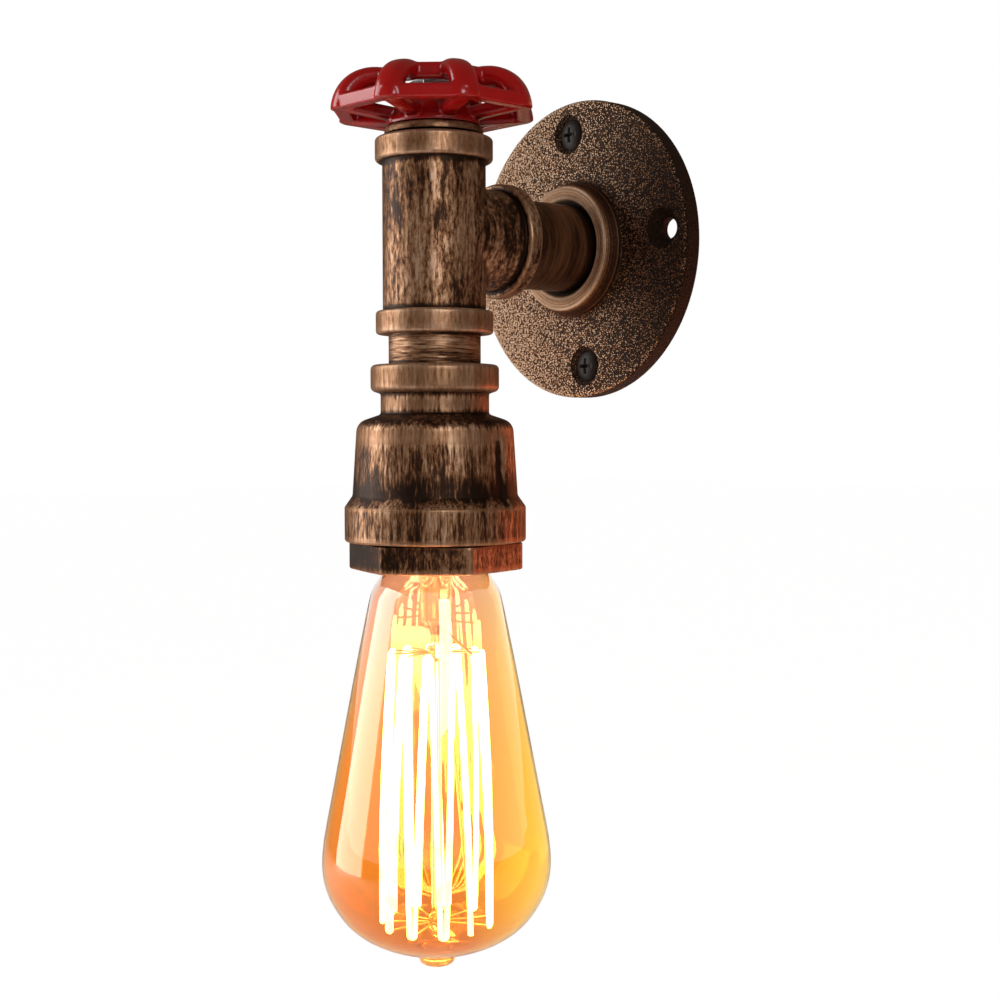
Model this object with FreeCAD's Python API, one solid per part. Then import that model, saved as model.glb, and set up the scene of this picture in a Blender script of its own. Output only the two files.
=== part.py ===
"""Industrial pipe wall light: a lamp tee on a wall flange, with a valve handwheel above and a bare bulb below.

Millimetres. The origin is the centre of the flange's back on the wall, +Y goes into the wall and +Z is up.
The lamp axis is upright at y = -lamp_to_wall, and the branch pipe lies on the Y axis.
"""
import FreeCAD, Part
import os
from math import cos, hypot, pi, radians, sin, sqrt

V = FreeCAD.Vector

# ---- driving dimensions -------------------------------------------------------------------------
lamp_to_wall = 61.0        # from the wall to the upright lamp axis
thread_gap = 0.05          # radial, between a made-up pipe thread and its socket
seat_gap = 0.10            # between faces that stand together
running_gap = 0.06         # radial, between the wheel hub and its stem

# pipe, 3/4 inch nominal
pipe_od = 25.8
pipe_wall = 2.6

# wall flange
flange_od = 89.0
flange_edge = 5.6          # thickness at the rim
flange_web = 2.4           # thickness over the hollow back
flange_rim = 3.4           # width of the rim that stands on the wall
rim_chamfer = 0.7
hub_height = 11.7          # from the wall
hub_face_od = 36.9
hub_root_od = 40.4
hub_round = 1.2
hub_mouth_od = 29.2        # chamfered mouth round the pipe
hole_circle = 70.5
hole_d = 6.0
hole_count = 4
sink_d = 11.6              # countersink mouth
boss_d = 15.4              # cast boss behind each hole
hole_clocking = 5.6        # the cross of holes leans by this, in degrees

# mounting strap and its screws
strap_width = 21.0
strap_thickness = 1.5
strap_end_gap = 0.5        # from the strap's round ends to the rim
strap_eye_d = 14.0         # cable way in its middle
wall_hole_d = 4.5
wall_hole_circle = 50.0
screw_d = 4.0
screw_head_d = 8.8
screw_head_dome = 1.1
recess_arm = 4.6           # length of the cross in a screw head
recess_slot = 1.0
recess_depth = 1.6
earth_screw_d = 3.5
earth_screw_at = 14.0      # from the strap's middle, along the strap
earth_head_d = 6.6
earth_head_h = 1.3

# tee
tee_wall = 1.55            # body over the pipe size
collar_rise = 2.0          # bead over the body
collar_width = 6.3
collar_chamfer = 1.1
tee_top = 26.7             # from the branch axis
tee_bottom = 27.6
tee_branch = 26.7          # from the lamp axis to the branch mouth
branch_collar_width = 4.8
made_up = 11.5             # length of pipe inside a fitting

# plug, stem and wheel fixings above the tee
plug_head_od = 27.6
plug_head_h = 2.9
plug_chamfer = 0.9
plug_shank = 11.0
stem_d = 8.0
stem_over_nut = 0.8
nut_flats = 13.0
nut_h = 4.0
washer_od = 17.0
washer_h = 1.0

# handwheel, heights from its underside
wheel_lobes = 8
wheel_clocking = 23.9      # degrees from +X to a corner
wheel_r = 29.2             # over the corners
band_low = 2.5
band_high = 6.9
band_wall = 4.2
band_round = 1.2
ring_r = 16.6              # over the flats of the upper ring
ring_wall = 4.4
ring_low = 10.4
ring_high = 14.8
lobe_top = 15.4
lobe_arc = 11.0            # outer radius of a lobe's shoulder
lobe_inner_arc = 5.6
lobe_width = 8.0
lobe_round = 3.4
wheel_hub_r = 13.3
wheel_hub_top_r = 9.4
wheel_hub_h = 7.2
spoke_width = 4.6
spoke_low = 0.8
spoke_high = 4.4
spoke_rise = 2.0
spoke_round = 0.9

# drop nipple and reducing socket
drop_gap = 8.5             # bare pipe between the tee and the reducing socket
top_collar_od = 36.0
top_collar_h = 7.2
top_collar_chamfer = 1.4
neck_od = 30.45
neck_h = 6.2
bell_shoulder_r = 22.1
bell_skirt_r = 23.2
bell_drop = 26.5           # from the neck to the lower collar
bell_round = 8.0
bell_wall = 3.2
low_collar_od = 50.9
low_collar_h = 9.5
low_collar_chamfer = 1.0
bell_rib_width = 8.0
bell_rib_rise = 0.9
rib_clocking = 23.0        # degrees from +X to a rib
bush_thread_r = 21.9
bush_reach = 12.5

# hexagon bush
hex_flats = 43.0
hex_h = 7.9
hex_clocking = 43.4        # degrees from +X to a corner
hex_round = 1.0
bush_mouth_r = 17.6
bush_ledge = 4.3           # lip that carries the lampholder

# lampholder
holder_r = 18.6
holder_rim_r = 19.5
holder_rim_h = 3.0
holder_h = 32.5
holder_shoulder = 4.2
holder_top_r = 14.0
holder_floor = 6.0
terminal_at = 8.6
terminal_d = 3.0
terminal_head_d = 5.2
terminal_head_h = 1.7
wire_hole_d = 3.2

# bulb
cap_pitch = 3.63
cap_crest_r = 13.15
cap_root_r = 12.2
cap_turns = 4
cap_skirt = 4.0
cap_wall = 0.4
cap_shoulder_h = 1.4
insulator_r = 9.4
insulator_h = 3.4
contact_r = 4.8
contact_h = 1.7            # height of the holder's sprung contact
contact_dome = 0.8         # of the cap's contact over its insulator
shell_gap = 0.30           # radial, between the cap and the holder's shell
shell_wall = 0.4
bulb_belly_r = 32.4
bulb_belly_z = 176.5       # below the branch axis
bulb_end_z = 201.8
bulb_nub_r = 5.2
bulb_nub_h = 4.4
bulb_neck_r = 16.2
bulb_neck_z = 96.4
bulb_shoulder_r = 18.6
bulb_shoulder_z = 101.8
glass_wall = 0.8
stem_glass_r = 4.4
stem_press_z = 112.0
rod_r = 1.5
rod_over = 1.6             # rod beyond the lower bead
bead_r = 2.6

# filament cage
strands = 22
cage_clocking = 16.4       # degrees from +X to the first bend
cage_top_z = 117.0
cage_low_z = 194.0
cage_top_r = 13.0
cage_low_r = 15.6
strand_r = 0.4
hook_r = 0.35
leadin_r = 0.45
leadin_turn = 60.0         # each lead-in leaves the press this far round from the gap between the cage's ends

# wires in the pipes
wire_d = 2.4
wire_apart = 2.5           # each side of the middle
wire_low = 4.4             # below the branch axis
wire_bend = 16.0

# ---- sizes that follow --------------------------------------------------------------------------
pipe_r = pipe_od / 2
pipe_bore_r = pipe_r - pipe_wall
thread_r = pipe_r + thread_gap
tee_body_r = pipe_r + tee_wall
collar_r = tee_body_r + collar_rise
flange_r = flange_od / 2
rim_bore_r = flange_r - flange_rim
plug_top = tee_top + seat_gap + plug_head_h
wheel_z = plug_top + seat_gap
washer_z = wheel_z + wheel_hub_h
nut_z = washer_z + washer_h
stem_top = nut_z + nut_h + stem_over_nut
socket_top = -tee_bottom - drop_gap
neck_z = socket_top - top_collar_h
bell_z = neck_z - neck_h
low_collar_z = bell_z - bell_drop
socket_bottom = low_collar_z - low_collar_h
hex_top = socket_bottom - seat_gap
hex_bottom = hex_top - hex_h
holder_z = hex_bottom + bush_ledge
holder_top = holder_z + holder_h
holder_bore_top = holder_top - holder_floor
holder_bore_r = cap_crest_r + shell_gap + shell_wall + thread_gap
cap_top = holder_bore_top - contact_h - seat_gap - contact_dome - insulator_h
cap_mouth = cap_top - cap_shoulder_h - cap_turns * cap_pitch - cap_skirt
neck_tube_r = cap_root_r - cap_wall - thread_gap
lamp = V(0, -lamp_to_wall, 0)
UP = V(0, 0, 1)


# ---- shape helpers ------------------------------------------------------------------------------
def outline(*steps):
    """A closed face in the XZ plane. A step is a point (x, z), or two points for an arc: a point on it and its end."""
    edges = []
    here = V(steps[0][0], 0, steps[0][1])
    start = here
    for step in steps[1:] + (steps[0],):
        if isinstance(step[0], tuple):
            middle = V(step[0][0], 0, step[0][1])
            end = V(step[1][0], 0, step[1][1])
            edges.append(Part.Arc(here, middle, end).toShape())
            here = end
        else:
            end = V(step[0], 0, step[1])
            if end.distanceToPoint(here) > 1e-7:
                edges.append(Part.LineSegment(here, end).toShape())
            here = end
    assert here.distanceToPoint(start) < 1e-6
    return Part.Face(Part.Wire(edges))


def turned(*steps):
    """A solid of revolution about the Z axis from an outline of (radius, height) steps."""
    return outline(*steps).revolve(V(0, 0, 0), UP, 360)


def on_lamp(shape):
    """The shape moved from the Z axis to the lamp axis."""
    shape.translate(lamp)
    return shape


def to_wall(shape):
    """The shape turned from the Z axis to the Y axis: its height becomes the distance out from the wall."""
    shape.rotate(V(0, 0, 0), V(1, 0, 0), 90)
    return shape


def rod(radius, start, end):
    """A round bar between two points."""
    along = end - start
    return Part.makeCylinder(radius, along.Length, start, along)


def around(shape, count, turn=360.0, centre=V(0, 0, 0)):
    """Copies of a shape, evenly turned about an upright axis."""
    copies = []
    for k in range(count):
        copy = shape.copy()
        copy.rotate(centre, UP, turn * k / count)
        copies.append(copy)
    return copies


def polygon(corner_r, sides, clocking, low, high, corner_round):
    """An upright prism with rounded corners."""
    points = []
    for k in range(sides + 1):
        a = radians(clocking) + 2 * pi * k / sides
        points.append(V(corner_r * cos(a), corner_r * sin(a), low))
    prism = Part.Face(Part.makePolygon(points)).extrude(V(0, 0, high - low))
    upright = [e for e in prism.Edges if abs(e.tangentAt(e.FirstParameter).z) > 0.99]
    return prism.makeFillet(corner_round, upright)


def quarter(centre, radius, from_deg, to_deg):
    """The middle and end points of an arc, as an outline step."""
    middle = radians((from_deg + to_deg) / 2)
    end = radians(to_deg)
    return ((centre[0] + radius * cos(middle), centre[1] + radius * sin(middle)),
            (centre[0] + radius * cos(end), centre[1] + radius * sin(end)))


def polar(radius, degrees, z):
    """A point round the Z axis."""
    return V(radius * cos(radians(degrees)), radius * sin(radians(degrees)), z)


# ---- wall side ----------------------------------------------------------------------------------
def hole_places(count=hole_count, first=0):
    """Centres of the flange's holes in its own upright frame, x to the right and y up."""
    places = []
    for k in range(count):
        a = radians(hole_clocking + first + 360.0 * k / count)
        places.append((hole_circle / 2 * cos(a), hole_circle / 2 * sin(a)))
    return places


def wall_flange():
    """Cast floor flange with a hollow back, a tapered hub and countersunk holes in cast bosses."""
    body = turned((thread_r, flange_edge - flange_web), (rim_bore_r, flange_edge - flange_web), (rim_bore_r, 0),
                  (flange_r, 0), (flange_r, flange_edge - rim_chamfer), (flange_r - rim_chamfer, flange_edge),
                  (hub_root_od / 2, flange_edge), (hub_face_od / 2, hub_height - hub_round),
                  (hub_face_od / 2 - hub_round, hub_height), (hub_mouth_od / 2, hub_height),
                  (thread_r, hub_height - (hub_mouth_od / 2 - thread_r)))
    sink_depth = (sink_d - hole_d) / 2
    bosses = []
    holes = []
    for k, (x, y) in enumerate(hole_places()):
        over_strap = k % 2 == 1
        low = strap_thickness if over_strap else 0
        bosses.append(Part.makeCylinder(boss_d / 2, flange_edge - low - flange_web / 2, V(x, y, low)))
        holes.append(Part.makeCylinder(hole_d / 2, flange_edge, V(x, y, 0)))
        holes.append(Part.makeCone(hole_d / 2, sink_d / 2, sink_depth, V(x, y, flange_edge - sink_depth)))
    return to_wall(body.multiFuse(bosses).cut(Part.makeCompound(holes)).removeSplitter())


def mounting_strap():
    """Flat steel strap behind the flange, with a cable eye, wall holes and tapped holes for the flange screws."""
    end_r = rim_bore_r - strap_end_gap
    bar = Part.makeBox(2 * end_r, strap_width, strap_thickness, V(-end_r, -strap_width / 2, 0))
    strap = bar.common(Part.makeCylinder(end_r, strap_thickness))
    holes = [Part.makeCylinder(strap_eye_d / 2, strap_thickness)]
    for side in (-1, 1):
        holes.append(Part.makeCylinder(screw_d / 2 + thread_gap, strap_thickness, V(side * hole_circle / 2, 0, 0)))
        holes.append(Part.makeCylinder(wall_hole_d / 2, strap_thickness, V(side * wall_hole_circle / 2, 0, 0)))
    holes.append(Part.makeCylinder(earth_screw_d / 2 + thread_gap, strap_thickness, V(earth_screw_at, 0, 0)))
    strap = strap.cut(Part.makeCompound(holes))
    strap.rotate(V(0, 0, 0), UP, 90 + hole_clocking)
    return to_wall(strap)


def cross_recess(top):
    """The cutter for a cross recess that ends at height top."""
    low = top - recess_depth
    across = Part.makeBox(recess_arm, recess_slot, recess_depth + 1, V(-recess_arm / 2, -recess_slot / 2, low))
    along = Part.makeBox(recess_slot, recess_arm, recess_depth + 1, V(-recess_slot / 2, -recess_arm / 2, low))
    return across.fuse(along)


def flange_screws():
    """Two raised countersunk screws from the flange's front into the strap."""
    head_drop = (screw_head_d - screw_d) / 2
    seat = flange_edge - (sink_d - screw_head_d) / 2 + seat_gap
    r, head = screw_d / 2, screw_head_d / 2
    screw = turned((0, 0), (r, 0), (r, seat - head_drop), (head, seat),
                   ((head * 0.55, seat + screw_head_dome * 0.8), (0, seat + screw_head_dome)))
    screw = screw.cut(cross_recess(seat + screw_head_dome))
    screws = []
    for x, y in hole_places(2, 90):
        copy = screw.copy()
        copy.translate(V(x, y, 0))
        screws.append(copy)
    return to_wall(Part.makeCompound(screws))


def earth_screw():
    """Pan-head earth screw in the strap, kept inside the hollow of the hub."""
    low = strap_thickness + seat_gap
    r, head = earth_screw_d / 2, earth_head_d / 2
    screw = turned((0, 0), (r, 0), (r, low), (head, low), (head, low + earth_head_h / 2),
                   (head * 0.7, low + earth_head_h), (0, low + earth_head_h))
    screw.translate(V(earth_screw_at, 0, 0))
    screw.rotate(V(0, 0, 0), UP, 90 + hole_clocking)
    return to_wall(screw)


def pipe(length, low):
    """A threaded nipple standing on the Z axis with chamfered ends."""
    bevel = pipe_wall / 3
    return turned((pipe_bore_r, low), (pipe_r - bevel, low), (pipe_r, low + bevel), (pipe_r, low + length - bevel),
                  (pipe_r - bevel, low + length), (pipe_bore_r, low + length))


def wall_nipple():
    """Nipple from the flange's hub into the tee's branch."""
    start = flange_edge - flange_web
    end = lamp_to_wall - tee_branch + made_up
    return to_wall(pipe(end - start, start))


# ---- tee and what stands on it ------------------------------------------------------------------
def arm(length, width):
    """Outside of one tee arm: a body and its beaded collar, from the middle out."""
    c = collar_chamfer
    start = length - width
    return turned((0, 0), (tee_body_r, 0), (tee_body_r, start), (collar_r - c, start), (collar_r, start + c),
                  (collar_r, length - c), (collar_r - c, length), (0, length))


def arm_bore(length):
    """Inside of one tee arm: the waterway, then the socket that takes the pipe."""
    seat = length - made_up - seat_gap
    return turned((0, 0), (pipe_bore_r, 0), (pipe_bore_r, seat), (thread_r, seat), (thread_r, length), (0, length))


def tee_fitting():
    """Cast tee: the run on the lamp axis, the branch towards the wall."""
    solids = []
    bores = []
    arms = ((tee_top, collar_width, 0), (tee_bottom, collar_width, 180), (tee_branch, branch_collar_width, -90))
    for length, width, turn in arms:
        outside = arm(length, width)
        inside = arm_bore(length)
        outside.rotate(V(0, 0, 0), V(1, 0, 0), turn)
        inside.rotate(V(0, 0, 0), V(1, 0, 0), turn)
        solids.append(outside)
        bores.append(inside)
    body = solids[0].multiFuse(solids[1:]).removeSplitter()
    return on_lamp(body.cut(bores[0].multiFuse(bores[1:]).removeSplitter()))


def bonnet_plug():
    """Round plug in the top of the tee with a hole for the stem."""
    c = plug_chamfer
    head, low = plug_head_od / 2, tee_top + seat_gap
    hole = stem_d / 2 + thread_gap
    return on_lamp(turned((hole, low - plug_shank), (pipe_r, low - plug_shank), (pipe_r, low), (head, low),
                          (head, plug_top - c), (head - c, plug_top), (hole, plug_top)))


def hex_nut(z, flats, height, hole_r):
    """A hexagon nut with chamfered top corners, standing at z."""
    corner = flats / sqrt(3)
    prism = polygon(corner, 6, 0, z, z + height, corner / 60)
    bevel = (corner - flats / 2) * 0.58
    cap = turned((hole_r, z), (corner, z), (corner, z + height - bevel), (flats / 2, z + height), (hole_r, z + height))
    return prism.common(cap)


def valve_stem():
    """Threaded stem through the plug and the wheel."""
    low = tee_top + seat_gap - plug_shank - seat_gap - nut_h - stem_over_nut
    bevel = stem_d / 10
    r = stem_d / 2
    return on_lamp(turned((0, low), (r - bevel, low), (r, low + bevel), (r, stem_top - bevel), (r - bevel, stem_top),
                          (0, stem_top)))


def stem_nuts():
    """Lock nut under the plug and wheel nut on top, on the same thread."""
    hole = stem_d / 2 + thread_gap
    low = tee_top + seat_gap - plug_shank - seat_gap - nut_h
    nuts = [hex_nut(low, nut_flats, nut_h, hole), hex_nut(nut_z + seat_gap, nut_flats, nut_h, hole)]
    return on_lamp(Part.makeCompound(nuts))


def wheel_washer():
    """Flat washer between the wheel's hub and its nut."""
    hole = stem_d / 2 + thread_gap
    return on_lamp(turned((hole, washer_z + seat_gap), (washer_od / 2, washer_z + seat_gap),
                          (washer_od / 2, washer_z + washer_h), (hole, washer_z + washer_h)))


# ---- handwheel ----------------------------------------------------------------------------------
def wheel_lobe():
    """One lobe along +X: an arched slab with rounded backs, from the band up and over to the ring."""
    outer = wheel_r
    spring = lobe_top - lobe_arc
    centre = (outer - lobe_arc, spring)
    inner_end = ring_r - ring_wall
    face = outline((outer, band_low), (outer, spring), quarter(centre, lobe_arc, 0, 90), (ring_r, lobe_top),
                   (inner_end, ring_high), (inner_end, ring_low), (centre[0], ring_low),
                   quarter((centre[0], ring_low - lobe_inner_arc), lobe_inner_arc, 90, 0),
                   (centre[0] + lobe_inner_arc, band_low))
    face.translate(V(0, -lobe_width / 2, 0))
    slab = face.extrude(V(0, lobe_width, 0))
    backs = []
    for edge in slab.Edges:
        box = edge.BoundBox
        if box.YLength > 1e-6:
            continue
        middle = edge.valueAt((edge.FirstParameter + edge.LastParameter) / 2)
        on_wall = middle.x > outer - 1e-6
        on_arc = abs(hypot(middle.x - centre[0], middle.z - centre[1]) - lobe_arc) < 1e-6 and middle.z > spring
        on_top = middle.z > lobe_top - 1e-6
        if on_wall or on_arc or on_top:
            backs.append(edge)
    return slab.makeFillet(lobe_round, backs)


def wheel_spoke():
    """One spoke along +X: a bar that rises from the hub to the band's foot."""
    foot = wheel_hub_top_r
    end = wheel_r - band_wall / 2
    face = outline((foot, spoke_low), (end, spoke_low + spoke_rise), (end, spoke_high + spoke_rise),
                   (foot, spoke_high))
    face.translate(V(0, -spoke_width / 2, 0))
    bar = face.extrude(V(0, spoke_width, 0))
    long_edges = [e for e in bar.Edges if e.Length > (end - foot) * 0.9 and e.BoundBox.YLength < 1e-6]
    return bar.makeFillet(spoke_round, long_edges)


def octagon_ring(outer_flat_r, wall, low, high, corner_round):
    """An upright ring with flat sides, its corners in line with the lobes."""
    grow = 1 / cos(pi / wheel_lobes)
    outer = polygon(outer_flat_r * grow, wheel_lobes, 0, low, high, corner_round)
    inner = polygon((outer_flat_r - wall) * grow, wheel_lobes, 0, low, high, corner_round)
    return outer.cut(inner)


def handwheel():
    """Cast eight-lobed handwheel: an outer band, arched lobes, an upper ring, and spokes to a hub."""
    band = octagon_ring(wheel_r * cos(pi / wheel_lobes), band_wall, band_low, band_high, band_round)
    ring = octagon_ring(ring_r, ring_wall, ring_low, ring_high, band_round)
    hub = turned((0, 0), (wheel_hub_r, 0), (wheel_hub_r, spoke_low), (wheel_hub_top_r, wheel_hub_h), (0, wheel_hub_h))
    parts = around(wheel_lobe(), wheel_lobes) + around(wheel_spoke(), wheel_lobes) + [ring, hub]
    wheel = band.multiFuse(parts).removeSplitter()
    wheel = wheel.cut(Part.makeCylinder(stem_d / 2 + running_gap, wheel_hub_h))
    wheel.rotate(V(0, 0, 0), UP, wheel_clocking)
    wheel.translate(V(0, 0, wheel_z))
    return on_lamp(wheel)


# ---- below the tee ------------------------------------------------------------------------------
def drop_nipple():
    """Nipple from the tee down into the reducing socket."""
    low = socket_top - made_up
    return on_lamp(pipe(-tee_bottom + made_up - low, low))


def bell_outside():
    """The reducing socket's outer steps, from its top mouth down to its bottom rim."""
    c, d = top_collar_chamfer, low_collar_chamfer
    top_r, neck_r, low_r = top_collar_od / 2, neck_od / 2, low_collar_od / 2
    shoulder = bell_shoulder_r - bell_round
    flare = low_r - bell_skirt_r
    return ((top_r - c, socket_top), (top_r, socket_top - c), (top_r, neck_z + 1.6 * c), (top_r - c, neck_z + 0.6 * c),
            (neck_r, neck_z - 0.6 * c), (neck_r, bell_z), (shoulder + 2 * c, bell_z - c),
            quarter((shoulder, bell_z - c - bell_round * 0.85), bell_round, 70, 0),
            (bell_skirt_r, low_collar_z + 1.6 * flare), (low_r - d, low_collar_z), (low_r, low_collar_z - d),
            (low_r, socket_bottom + d), (low_r - d, socket_bottom))


def reducing_socket():
    """Cast bell-shaped reducing socket with two opposite ribs, threaded for the pipe above and the bush below."""
    seat = socket_top - made_up - seat_gap
    cavity_r = bell_shoulder_r - bell_wall
    step = low_collar_z + bell_wall
    inside = ((bush_thread_r + thread_gap, socket_bottom), (bush_thread_r + thread_gap, step), (cavity_r, step),
              (cavity_r, bell_z - bell_round), (pipe_bore_r + bell_wall, bell_z - bell_wall),
              (pipe_bore_r, bell_z - bell_wall), (pipe_bore_r, seat), (thread_r, seat), (thread_r, socket_top))
    body = turned(*(bell_outside() + inside))
    rib_top = bell_z - bell_round
    rib_r = bell_skirt_r + bell_rib_rise
    rib = Part.makeBox(rib_r - cavity_r - 1, bell_rib_width, rib_top - low_collar_z,
                       V(cavity_r + 1, -bell_rib_width / 2, low_collar_z))
    outer = [e for e in rib.Edges if e.BoundBox.XLength < 1e-6 and e.BoundBox.XMin > rib_r - 1e-6]
    rib = rib.makeChamfer(bell_rib_rise, outer)
    rib = rib.cut(Part.makeCylinder(bush_thread_r + thread_gap, rib_top - low_collar_z, V(0, 0, low_collar_z)))
    rib.rotate(V(0, 0, 0), UP, rib_clocking)
    return on_lamp(body.multiFuse(around(rib, 2)).removeSplitter())


def hex_bush():
    """Hexagon bush that closes the bell and carries the lampholder on its lip."""
    corner = hex_flats / sqrt(3)
    head = polygon(corner, 6, hex_clocking, hex_bottom, hex_top, hex_round)
    shank = Part.makeCylinder(bush_thread_r, bush_reach + hex_h / 2, V(0, 0, hex_top - hex_h / 2))
    seat_r = holder_rim_r + seat_gap
    inside = turned((0, hex_bottom), (bush_mouth_r, hex_bottom), (bush_mouth_r, holder_z), (seat_r, holder_z),
                    (seat_r, hex_top + bush_reach), (0, hex_top + bush_reach))
    return on_lamp(head.fuse(shank).cut(inside))


# ---- lampholder ---------------------------------------------------------------------------------
def lampholder_body():
    """Glazed ceramic lampholder that stands on the bush's lip, with holes for its wires and screws."""
    shoulder_z = holder_top - holder_shoulder
    rim_z = holder_z + seat_gap + holder_rim_h
    body = turned((holder_bore_r, holder_z + seat_gap), (holder_rim_r, holder_z + seat_gap), (holder_rim_r, rim_z),
                  (holder_r, rim_z), (holder_r, shoulder_z), (holder_top_r, holder_top), (0, holder_top),
                  (0, holder_bore_top), (holder_bore_r, holder_bore_top))
    holes = []
    for side in (-1, 1):
        holes.append(Part.makeCylinder(terminal_d / 2 + thread_gap, holder_floor, V(0, side * terminal_at, holder_bore_top)))
        holes.append(Part.makeCylinder(wire_hole_d / 2, holder_floor, V(side * terminal_at, 0, holder_bore_top)))
    return on_lamp(body.cut(Part.makeCompound(holes)))


def terminal_screws():
    """Two terminal screws in the top of the lampholder."""
    r, head = terminal_d / 2, terminal_head_d / 2
    low = holder_bore_top + holder_floor / 3
    screw = turned((0, low), (r, low), (r, holder_top + seat_gap), (head, holder_top + seat_gap),
                   (head, holder_top + seat_gap + terminal_head_h), (0, holder_top + seat_gap + terminal_head_h))
    screw.translate(V(0, terminal_at, 0))
    return on_lamp(Part.makeCompound(around(screw, 2)))


def wave(crest_r, root_r, top, turns):
    """Knuckle thread as plain rings: (radius, height) points going down from a root at top."""
    points = [(root_r, top)]
    for k in range(turns):
        points.append((crest_r, top - (k + 0.5) * cap_pitch))
        points.append((root_r, top - (k + 1) * cap_pitch))
    return points


def screw_shell():
    """Brass screw shell in the lampholder."""
    top = cap_top - cap_shoulder_h
    low = holder_z + holder_rim_h
    inner_root = cap_root_r + shell_gap
    inner_crest = cap_crest_r + shell_gap
    inner = wave(inner_crest, inner_root, top, cap_turns)
    outer_r = inner_crest + shell_wall
    return on_lamp(turned(*(inner + [(inner_crest, inner[-1][1]), (inner_crest, low), (outer_r, low),
                                     (outer_r, top + cap_shoulder_h), (inner_root, top + cap_shoulder_h)])))


def centre_contact():
    """Sprung centre contact on the lampholder's floor: a bent strip under a rivet."""
    width = contact_r
    top = holder_bore_top - seat_gap
    thick = shell_wall
    strip = outline((-holder_bore_r * 0.6, top), (holder_bore_r * 0.6, top), (holder_bore_r * 0.6, top - thick),
                    (contact_r * 0.8, top - contact_h + seat_gap + thick), (contact_r * 0.8, top - contact_h + seat_gap),
                    (-contact_r * 0.8, top - contact_h + seat_gap), (-contact_r * 0.8, top - contact_h + seat_gap + thick),
                    (-contact_r * 0.4, top - contact_h + seat_gap + thick), (-contact_r * 0.2, top - thick),
                    (-holder_bore_r * 0.6, top - thick))
    strip.translate(V(0, -width / 2, 0))
    return on_lamp(strip.extrude(V(0, width, 0)))


# ---- bulb ---------------------------------------------------------------------------------------
def bulb_cap():
    """Brass screw cap with rolled rings, open below for the glass neck."""
    top = cap_top - cap_shoulder_h
    outer = wave(cap_crest_r, cap_root_r, top, cap_turns)
    inner_r = cap_root_r - cap_wall
    crown_r = insulator_r + thread_gap
    return on_lamp(turned(*([(crown_r, cap_top)] + outer + [(cap_crest_r, outer[-1][1] - cap_pitch / 3),
                            (cap_crest_r, cap_mouth), (inner_r, cap_mouth), (inner_r, top - cap_wall),
                            (crown_r, cap_top - cap_wall)])))


def cap_insulator():
    """Black glass insulator in the cap's crown."""
    low = cap_top - cap_wall
    return on_lamp(turned((contact_r + thread_gap, low), (insulator_r, low), (insulator_r, cap_top),
                          (contact_r * 1.5, cap_top + insulator_h), (contact_r + thread_gap, cap_top + insulator_h)))


def cap_contact():
    """Tin-plated centre contact in the insulator."""
    low = cap_top - cap_wall
    top = cap_top + insulator_h
    return on_lamp(turned((0, low), (contact_r, low), (contact_r, top), (contact_r * 0.8, top + contact_dome),
                          (0, top + contact_dome)))


def bulb_glass():
    """Teardrop glass envelope: a neck in the cap, a long cone, a round belly, and the exhaust tip."""
    w = glass_wall
    belly, belly_z = bulb_belly_r, -bulb_belly_z
    depth = bulb_end_z - bulb_belly_z
    low = (bulb_nub_r * 1.5, -bulb_end_z + 0.02 * depth)
    side = radians(35)
    shoulder_top = belly_z + belly * 0.18
    outer = ((neck_tube_r, cap_mouth + cap_skirt), (neck_tube_r, cap_mouth - seat_gap),
             (bulb_neck_r, -bulb_neck_z), (bulb_shoulder_r, -bulb_shoulder_z),
             (belly * 0.985, shoulder_top), ((belly, belly_z), (belly * 0.972, belly_z - depth * 0.25)),
             ((belly * cos(side) * 0.94, belly_z - depth * sin(side) * 1.22), low),
             (bulb_nub_r * 1.05, -bulb_end_z - bulb_nub_h * 0.2),
             ((bulb_nub_r * 0.9, -bulb_end_z - bulb_nub_h * 0.75), (bulb_nub_r * 0.5, -bulb_end_z - bulb_nub_h)),
             (0, -bulb_end_z - bulb_nub_h))
    inner = ((0, -bulb_end_z + w), (bulb_nub_r * 1.5, -bulb_end_z + w + 0.02 * depth),
             (belly * 0.68, belly_z - depth * 0.71 + w), (belly * 0.93 - w, belly_z - depth * 0.33),
             (belly - 1.4 * w, belly_z),
             (belly * 0.985 - w, shoulder_top), (bulb_shoulder_r - w, -bulb_shoulder_z),
             (bulb_neck_r - w, -bulb_neck_z), (neck_tube_r - w, cap_mouth - seat_gap),
             (neck_tube_r - w, cap_mouth + cap_skirt))
    return on_lamp(turned(*(outer + inner)))


def glass_stem():
    """Glass stem: a flared foot in the neck, a pressed tube, and the rod that carries the cage."""
    foot = cap_mouth + 2 * glass_wall
    funnel = foot - 2 * stem_glass_r
    foot_r = neck_tube_r - glass_wall - seat_gap
    press = -stem_press_z
    r = stem_glass_r
    end = -cage_low_z - bead_r - rod_over
    beads = []
    for z in (-cage_top_z, -cage_low_z):
        beads += [(rod_r, z + bead_r), (bead_r, z + bead_r / 2), (bead_r, z - bead_r / 2), (rod_r, z - bead_r)]
    return on_lamp(turned(*([(0, funnel), (r - glass_wall, funnel), (foot_r - glass_wall, foot), (foot_r, foot),
                             (foot_r, foot - glass_wall), (r, funnel - glass_wall), (r, press + r), (rod_r, press)]
                            + beads + [(rod_r, end), (0, end)])))


def cage_points():
    """Hook points of the cage, by turns at the top and at the bottom."""
    points = []
    for k in range(strands):
        a = cage_clocking + 360.0 * k / strands
        high = k % 2 == 0
        points.append(polar(cage_top_r, a, -cage_top_z) if high else polar(cage_low_r, a, -cage_low_z))
    return points


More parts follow.
